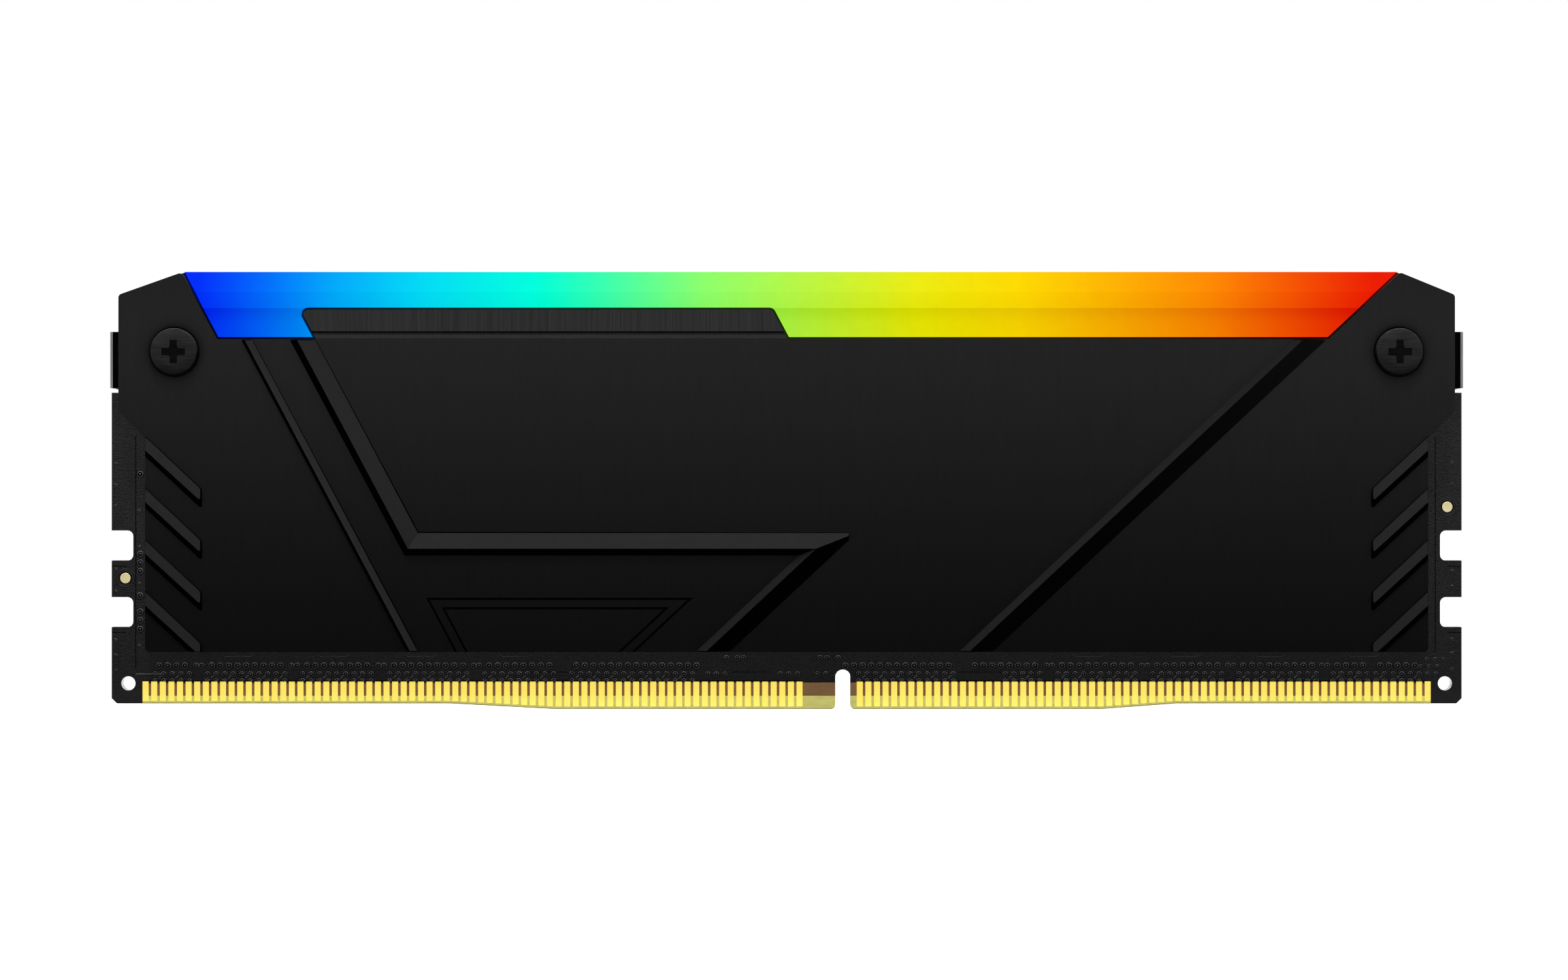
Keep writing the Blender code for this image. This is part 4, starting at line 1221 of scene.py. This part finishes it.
board = cad_copy("main_board", "printed_board")
for height in (MASK_BOTTOM, SMOOTH_TOP, GROUND_TOP):
    slice_level(board, height)
for end in (-MASK_END, MASK_END):
    select_in(board, "FACE", lambda face: face.calc_center_median().z < MASK_BOTTOM)
    bpy.ops.mesh.bisect(plane_co=(end, 0, 0), plane_no=(1, 0, 0))
bevel_where(board, is_card_edge, GROUND_BEVEL, 1)
leave_edit()
for side in (-1, 1):
    cut(board, gap_cutter(side))
dress(board, "board", ["main_board"], *BOARD_FINISHES)
finish_faces(board, board_finish)

# %% [markdown]
# ## Copper under the mask
# The solder mask is a thin skin, so the copper below shows as relief: a rim round each plated hole and
# a low ridge over each track. There the skin is stretched thin and looks paler. The raised dot in the
# middle of a hole gets the same pale skin, partly for thin skin over the plug and partly as a painted
# highlight, and the hollow round the rim and the hole itself are painted black as shade. A picture of
# bumps would fool the eye from the front only, so they are real shapes. One ring is a cylinder whose face
# is inset five times, up and down, which leaves a rim and a dot in its middle. A track is a box with
# bevelled edges. An Array makes each run of them.

# %% Rings and tracks
RELIEF = 0.04 * MM
ROOT = 0.03 * MM
RING_SIDES = 10
RING_STEPS = ((0.14, 0.0), (0.06, 1.0), (0.19, 0.0), (0.3, -1.0), (0.09, 0.7))
RIM_FROM, RIM_TO = 0.86, 0.61
DOT_REACH = 0.28
HOLE_PITCH = 0.85 * MM
TRACK_WIDTH = 0.13 * MM
TRACK_RISE = RELIEF * 0.7
TRACK_BEVEL = RELIEF * 0.6
COPPER_LOOKS = (solder_mask, thin_mask, painted_shade_black)
PLAIN_SKIN, THIN_SKIN, SHADED_SKIN = range(len(COPPER_LOOKS))


def coat(shape, *looks):
    for look in looks:
        shape.data.materials.append(look)


def ring_run(x, z, radius, count=1, spacing=HOLE_PITCH, upright=False, cut_at=None):
    """A run of rings on the front face, along X or upward. One that is cut keeps its upper part."""
    ring = add_rod("ring", (x, board_low.y + ROOT / 2 - SKIM, z), radius, ROOT, RING_SIDES)
    coat(ring, *COPPER_LOOKS)
    select_in(ring, "FACE", lambda face: face.normal.y < -FACING)
    for width, lift in RING_STEPS:
        bpy.ops.mesh.inset(thickness=width * radius, depth=lift * RELIEF)
    leave_edit()

    # The rim and the dot get the pale skin, the dot partly as a painted highlight; the rest is painted shade.
    def look_of(polygon):
        reach = math.hypot(polygon.center.x - x, polygon.center.z - z) / radius
        return THIN_SKIN if RIM_TO < reach < RIM_FROM or reach < DOT_REACH else SHADED_SKIN

    finish_faces(ring, look_of)
    if cut_at:
        slice_level(ring, cut_at, use_fill=True, clear_inner=True)
        leave_edit()
    repeat(ring, count, (0, 0, spacing) if upright else (spacing, 0, 0))
    return ring


def track_run(x, z, length, turn=0.0, count=1, look=THIN_SKIN):
    """A run of low ridges with sloped sides: a box whose outer edges are bevelled, turned about Y."""
    low = (x - length / 2, board_low.y - TRACK_RISE, z - TRACK_WIDTH / 2)
    track = add_box("track", low, (x + length / 2, board_low.y + ROOT, z + TRACK_WIDTH / 2))
    coat(track, *COPPER_LOOKS)
    select_in(track, "FACE", every)
    bpy.ops.transform.rotate(value=turn, orient_axis="Y", center_override=(x, board_low.y, z))
    bevel_where(track, lambda edge: edge_middle(edge).y < low[1] + MERGE, TRACK_BEVEL, 1)
    leave_edit()
    finish_faces(track, lambda polygon: look)
    repeat(track, count, (2 * HOLE_PITCH, 0, 0))
    return track


print("ring relief in mm:", RELIEF / MM)

# %% [markdown]
# ## Copper of the chips
# Each chip has two rows of holes under it, a pair beside them, half rings at the contacts' heads, short
# slanted tracks between the rows and a bent track above. So one loop lays out all that belongs to a chip.

# %% Copper under each chip
UPPER_Z, LOWER_Z, FOOT_Z, HIGH_Z = 4.28 * MM, 3.44 * MM, 2.75 * MM, 5.05 * MM
UPPER_RADIUS, LOWER_RADIUS, DOT_RADIUS = 0.39 * MM, 0.33 * MM, 0.23 * MM
FOOT_CUT = 2.82 * MM
PAIR_LEAD, PAIR_SPACING, PAIR_RADIUS = 1.54 * MM, 0.56 * MM, 0.35 * MM
SLANT_LEAD, SLANT_Z, SLANT_LENGTH = 0.29 * MM, 3.22 * MM, 0.5 * MM
BEND_LEAD, BEND_Z, BEND_HALF = 2.6 * MM, 5.12 * MM, 1.3 * MM
ARM_SHIFT, ARM_LENGTH = 0.14 * MM, 0.42 * MM
HALF_SQUARE = math.pi / 4
CHIP_RUNS = ((-56.8, 9), (-47.4, 8), (-38.8, 9), (-29.4, 8), (27.2, 9), (36.6, 8), (45.1, 9), (54.4, 4))


def slanted_tracks(first_x, count):
    return track_run(first_x + HOLE_PITCH - SLANT_LEAD, SLANT_Z, SLANT_LENGTH, HALF_SQUARE, count)


copper = []
for start, count in CHIP_RUNS:
    x = start * MM
    lower_x = x - HOLE_PITCH / 2
    copper.append(ring_run(x, UPPER_Z, UPPER_RADIUS, count))
    copper.append(ring_run(x - PAIR_LEAD, UPPER_Z, PAIR_RADIUS, 2, PAIR_SPACING))
    copper.append(ring_run(lower_x, LOWER_Z, LOWER_RADIUS, count + 1))
    copper.append(ring_run(lower_x, FOOT_Z, LOWER_RADIUS, count + 1, cut_at=FOOT_CUT))
    copper.append(slanted_tracks(lower_x, (count + 1) // 2))
    bend_x = x + BEND_LEAD
    copper.append(track_run(bend_x, BEND_Z, 2 * BEND_HALF, look=PLAIN_SKIN))
    for hand in (-1, 1):
        arm_x = bend_x + hand * (BEND_HALF + ARM_SHIFT)
        copper.append(track_run(arm_x, BEND_Z + ARM_SHIFT, ARM_LENGTH, hand * HALF_SQUARE, look=PLAIN_SKIN))
print("copper runs under chips:", len(copper))

# %% [markdown]
# ## Copper between the chips and at the sides
# The other holes follow no rule that shows, so each run is listed by start and count, as on a drill plan.

# %% The other runs of copper
UPPER_RUNS = ((-62.0, 4), (-20.8, 15), (5.8, 13), (18.6, 8), (58.65, 5))
LOWER_RUNS = ((-62.4, 5), (-21.2, 15), (-7.8, 3), (-0.65, 3), (3.0, 2), (7.1, 12), (21.6, 5), (58.22, 6))
LONG_ENOUGH = 5
LEAD_X, LEAD_LENGTH = -62.95 * MM, 2.7 * MM
HIGH_RINGS = (-5.96, -4.89, -4.28, 3.29, 3.98, 5.08)
HIGH_RADIUS = UPPER_RADIUS * 0.85
SIDE_DOTS = {
    -66.3: (24.2, 22.1, 20.1, 13.8, 11.6, 6.8, 5.3, 3.8),
    -63.95: (19.6, 16.0, 12.36, 6.25),
    65.75: (24.3, 22.2, 13.6, 12.1, 6.9, 5.5, 3.9),
}
CORNER_DOTS = ((63.2, 4.92, 3), (62.6, 4.21, 3), (63.3, 3.5, 2))
SIDE_RINGS_X = -63.85 * MM
SIDE_RINGS = ((7.9, 3), (11.2, 1), (13.6, 3), (23.2, 1))

for start, count in UPPER_RUNS:
    copper.append(ring_run(start * MM, UPPER_Z, UPPER_RADIUS, count))
for start, count in LOWER_RUNS:
    copper.append(ring_run(start * MM, LOWER_Z, LOWER_RADIUS, count))
    if count >= LONG_ENOUGH:
        copper.append(ring_run(start * MM, FOOT_Z, LOWER_RADIUS, count, cut_at=FOOT_CUT))
        copper.append(slanted_tracks(start * MM, count // 2))
copper.append(track_run(LEAD_X, LOWER_Z, LEAD_LENGTH))
for x in HIGH_RINGS:
    copper.append(ring_run(x * MM, HIGH_Z, HIGH_RADIUS))
for x, heights in SIDE_DOTS.items():
    for z in heights:
        copper.append(ring_run(x * MM, z * MM, DOT_RADIUS))
for x, z, count in CORNER_DOTS:
    copper.append(ring_run(x * MM, z * MM, DOT_RADIUS, count))
for z, count in SIDE_RINGS:
    copper.append(ring_run(SIDE_RINGS_X, z * MM, UPPER_RADIUS, count, upright=True))
print("copper runs in all:", len(copper))

# %% [markdown]
# ## Copper of both faces
# The runs are joined into one piece. The holes go through the board, so the rear gets a mirrored copy.

# %% Front and rear copper
front_copper = joined(copper)
front_copper.name = "front_copper_relief"
rear_copper = front_copper.copy()
rear_copper.data = front_copper.data.copy()
rear_copper.name = "rear_copper_relief"
bpy.context.scene.collection.objects.link(rear_copper)
select_in(rear_copper, "FACE", every)
bpy.ops.transform.resize(value=(1, -1, 1), center_override=(0, 0, 0))
turn_outward()
for relief_piece in (front_copper, rear_copper):
    dress(relief_piece, "board", [])

# %% [markdown]
# ## Aiming marks
# A placing machine finds the board by two bare copper dots in clear rings. Each is a disc whose face is
# inset step by step: two low rims in the mask, a gap painted black as shade, and the middle, which is raised
# and gilded.

# %% Two aiming marks
MARK_PLACES = ((-65.32, 12.93), (65.26, 19.96))
MARK_SIDES = 40
MARK_RADIUS = 0.95 * MM
MARK_STEPS = ((0.04, 0.6), (0.06, 0.0), (0.04, -0.6), (0.07, 0.0), (0.03, 0.4), (0.05, 0.0), (0.03, -0.4))
MARK_GAP = 0.62 * MM
MARK_DOT = 0.525 * MM
MARK_RISE = 0.03 * MM
MARK_BREAK = 0.03 * MM

pale_gilt = grained(
    "pale_gilt", {"Roughness": 0.45, "Metallic": 0.7}, 1200, EVEN, 2,
    colours=((0.3, tint(198, 186, 142)), (0.7, tint(212, 201, 157))),
)


def make_mark(x, z):
    """A disc with two rims, a dark gap and a raised dot."""
    mark = add_rod("mark", (x, board_low.y + ROOT / 2 - SKIM, z), MARK_RADIUS, ROOT, MARK_SIDES)
    coat(mark, solder_mask, pale_gilt, painted_shade_black)
    select_in(mark, "FACE", lambda face: face.normal.y < -FACING)
    for width, lift in MARK_STEPS:
        bpy.ops.mesh.inset(thickness=width * MM, depth=lift * RELIEF)
    bpy.ops.mesh.inset(thickness=MARK_RADIUS - MARK_DOT - sum(width for width, lift in MARK_STEPS) * MM)
    bpy.ops.mesh.inset(thickness=MARK_BREAK, depth=MARK_RISE)
    leave_edit()

    def look_of(polygon):
        reach = math.hypot(polygon.center.x - x, polygon.center.z - z)
        in_front = polygon.center.y < board_low.y
        # The gap ring is painted black as shade.
        return int(in_front and reach < MARK_DOT) + 2 * int(MARK_DOT < reach < MARK_GAP)

    finish_faces(mark, look_of)
    return mark


marks = joined([make_mark(x * MM, z * MM) for x, z in MARK_PLACES])
marks.name = "aiming_marks"
dress(marks, "gold", [])

# %% [markdown]
# ## Gold
# The contacts are plated with hard gold. Its colour wavers slightly from one to the next, and pushing
# the card into a socket leaves faint upright wipe marks, so colour and gloss have a noise each.

# %% Gold finish
plated_gold = grained(
    "plated_gold", {"Metallic": 1.0}, 700, EVEN, 2,
    colours=((0.3, tint(245, 217, 97)), (0.7, tint(249, 222, 103))),
)
wipe = noise(plated_gold, 4200, stretch=(1, 1, 0.08), detail=3)
gloss = shades(plated_gold, wipe, (0.3, 0.27), (0.7, 0.33))
connect(plated_gold, shader_of(plated_gold), {"Roughness": gloss})
relief(plated_gold, wipe, 0.03, 0.01 * MM)

# %% [markdown]
# ## Contacts
# Each gold finger is a plated copper pad. One pad is modelled, with its outer edges softened, and an
# Array repeats it along the row. Near the ramps of the card edge the pads are shorter, so each pad's
# foot is then moved to where the solid has it.

# %% Contact rows
PAD_WIDTH = 0.6 * MM
PAD_PITCH = 0.85 * MM
PAD_BREAK = 0.02 * MM


def feet_of(node, first_x):
    """The lowest point of each pad of a row, by the pad's place in the row."""
    feet = {}
    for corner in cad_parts[node].data.vertices:
        place = round((corner.co.x - first_x) / PAD_PITCH)
        feet[place] = min(feet.get(place, corner.co.z), corner.co.z)
    return feet


def dress_contacts(face, hand, side):
    """A row of pads on one face, each with its own foot."""
    node = f"{face}_{hand}_contacts"
    low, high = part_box(node)
    count = round((high.x - low.x - PAD_WIDTH) / PAD_PITCH) + 1
    feet = feet_of(node, low.x + PAD_WIDTH / 2)
    outer = low.y if side < 0 else high.y
    pads = add_box(f"{face}_{hand}_gold_pads", low, (low.x + PAD_WIDTH, high.y, high.z))
    bevel_where(pads, lambda edge: abs(edge_middle(edge).y - outer) < MERGE, PAD_BREAK, 1)
    leave_edit()
    repeat(pads, count, (PAD_PITCH, 0, 0))
    for vertex in pads.data.vertices:
        if vertex.co.z < (low.z + high.z) / 2:
            place = round((vertex.co.x - low.x - PAD_WIDTH / 2) / PAD_PITCH)
            vertex.co.z += feet[place] - low.z
    dress(pads, "gold", [node], plated_gold)


for face_name, side in SIDES:
    for hand in ("left", "right"):
        dress_contacts(face_name, hand, side)

# %% [markdown]
# ## Parts inside
# Chips, capacitors, lamps and pads sit between the sheets and show only through the gaps. Their solids
# are right as they are, so they keep their shapes and get real finishes: dusty moulded epoxy, fired
# ceramic, clear lamp resin and soft filled rubber.

# %% Finishes of the parts inside
epoxy = grained(
    "moulded_epoxy", {"Specular IOR Level": 0.3}, 6000, EVEN, 4,
    colours=((0.35, 0.012), (0.65, 0.03)), roughness=((0.3, 0.5), (0.7, 0.7)), bump=(0.3, 0.02 * MM),
)
ceramic = grained(
    "fired_ceramic", {"Roughness": 0.45}, 5000, EVEN, 3,
    colours=((0.3, (0.36, 0.27, 0.18)), (0.7, (0.52, 0.42, 0.3))), bump=(0.2, 0.02 * MM),
)
lamp_resin = grained(
    "lamp_resin", {"Roughness": 0.25}, 1800, EVEN, 2,
    colours=((0.3, (0.85, 0.82, 0.66)), (0.7, (0.92, 0.91, 0.84))), bump=(0.1, 0.02 * MM),
)
filled_rubber = grained(
    "filled_rubber", {"Roughness": 0.85}, 3200, EVEN, 5,
    colours=((0.3, (0.3, 0.33, 0.36)), (0.7, (0.46, 0.49, 0.52))), bump=(0.5, 0.05 * MM),
)

INNER_FINISHES = {
    "chip": epoxy, "controller": epoxy, "capacitor": ceramic, "light_": lamp_resin, "pad": filled_rubber,
}
dressed = 0
for node_name, node_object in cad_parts.items():
    for word, finish in INNER_FINISHES.items():
        if word in node_name and not node_object.hide_render:
            node_object.material_slots[0].material = finish
            dressed += 1
            break
print("inner parts dressed:", dressed)
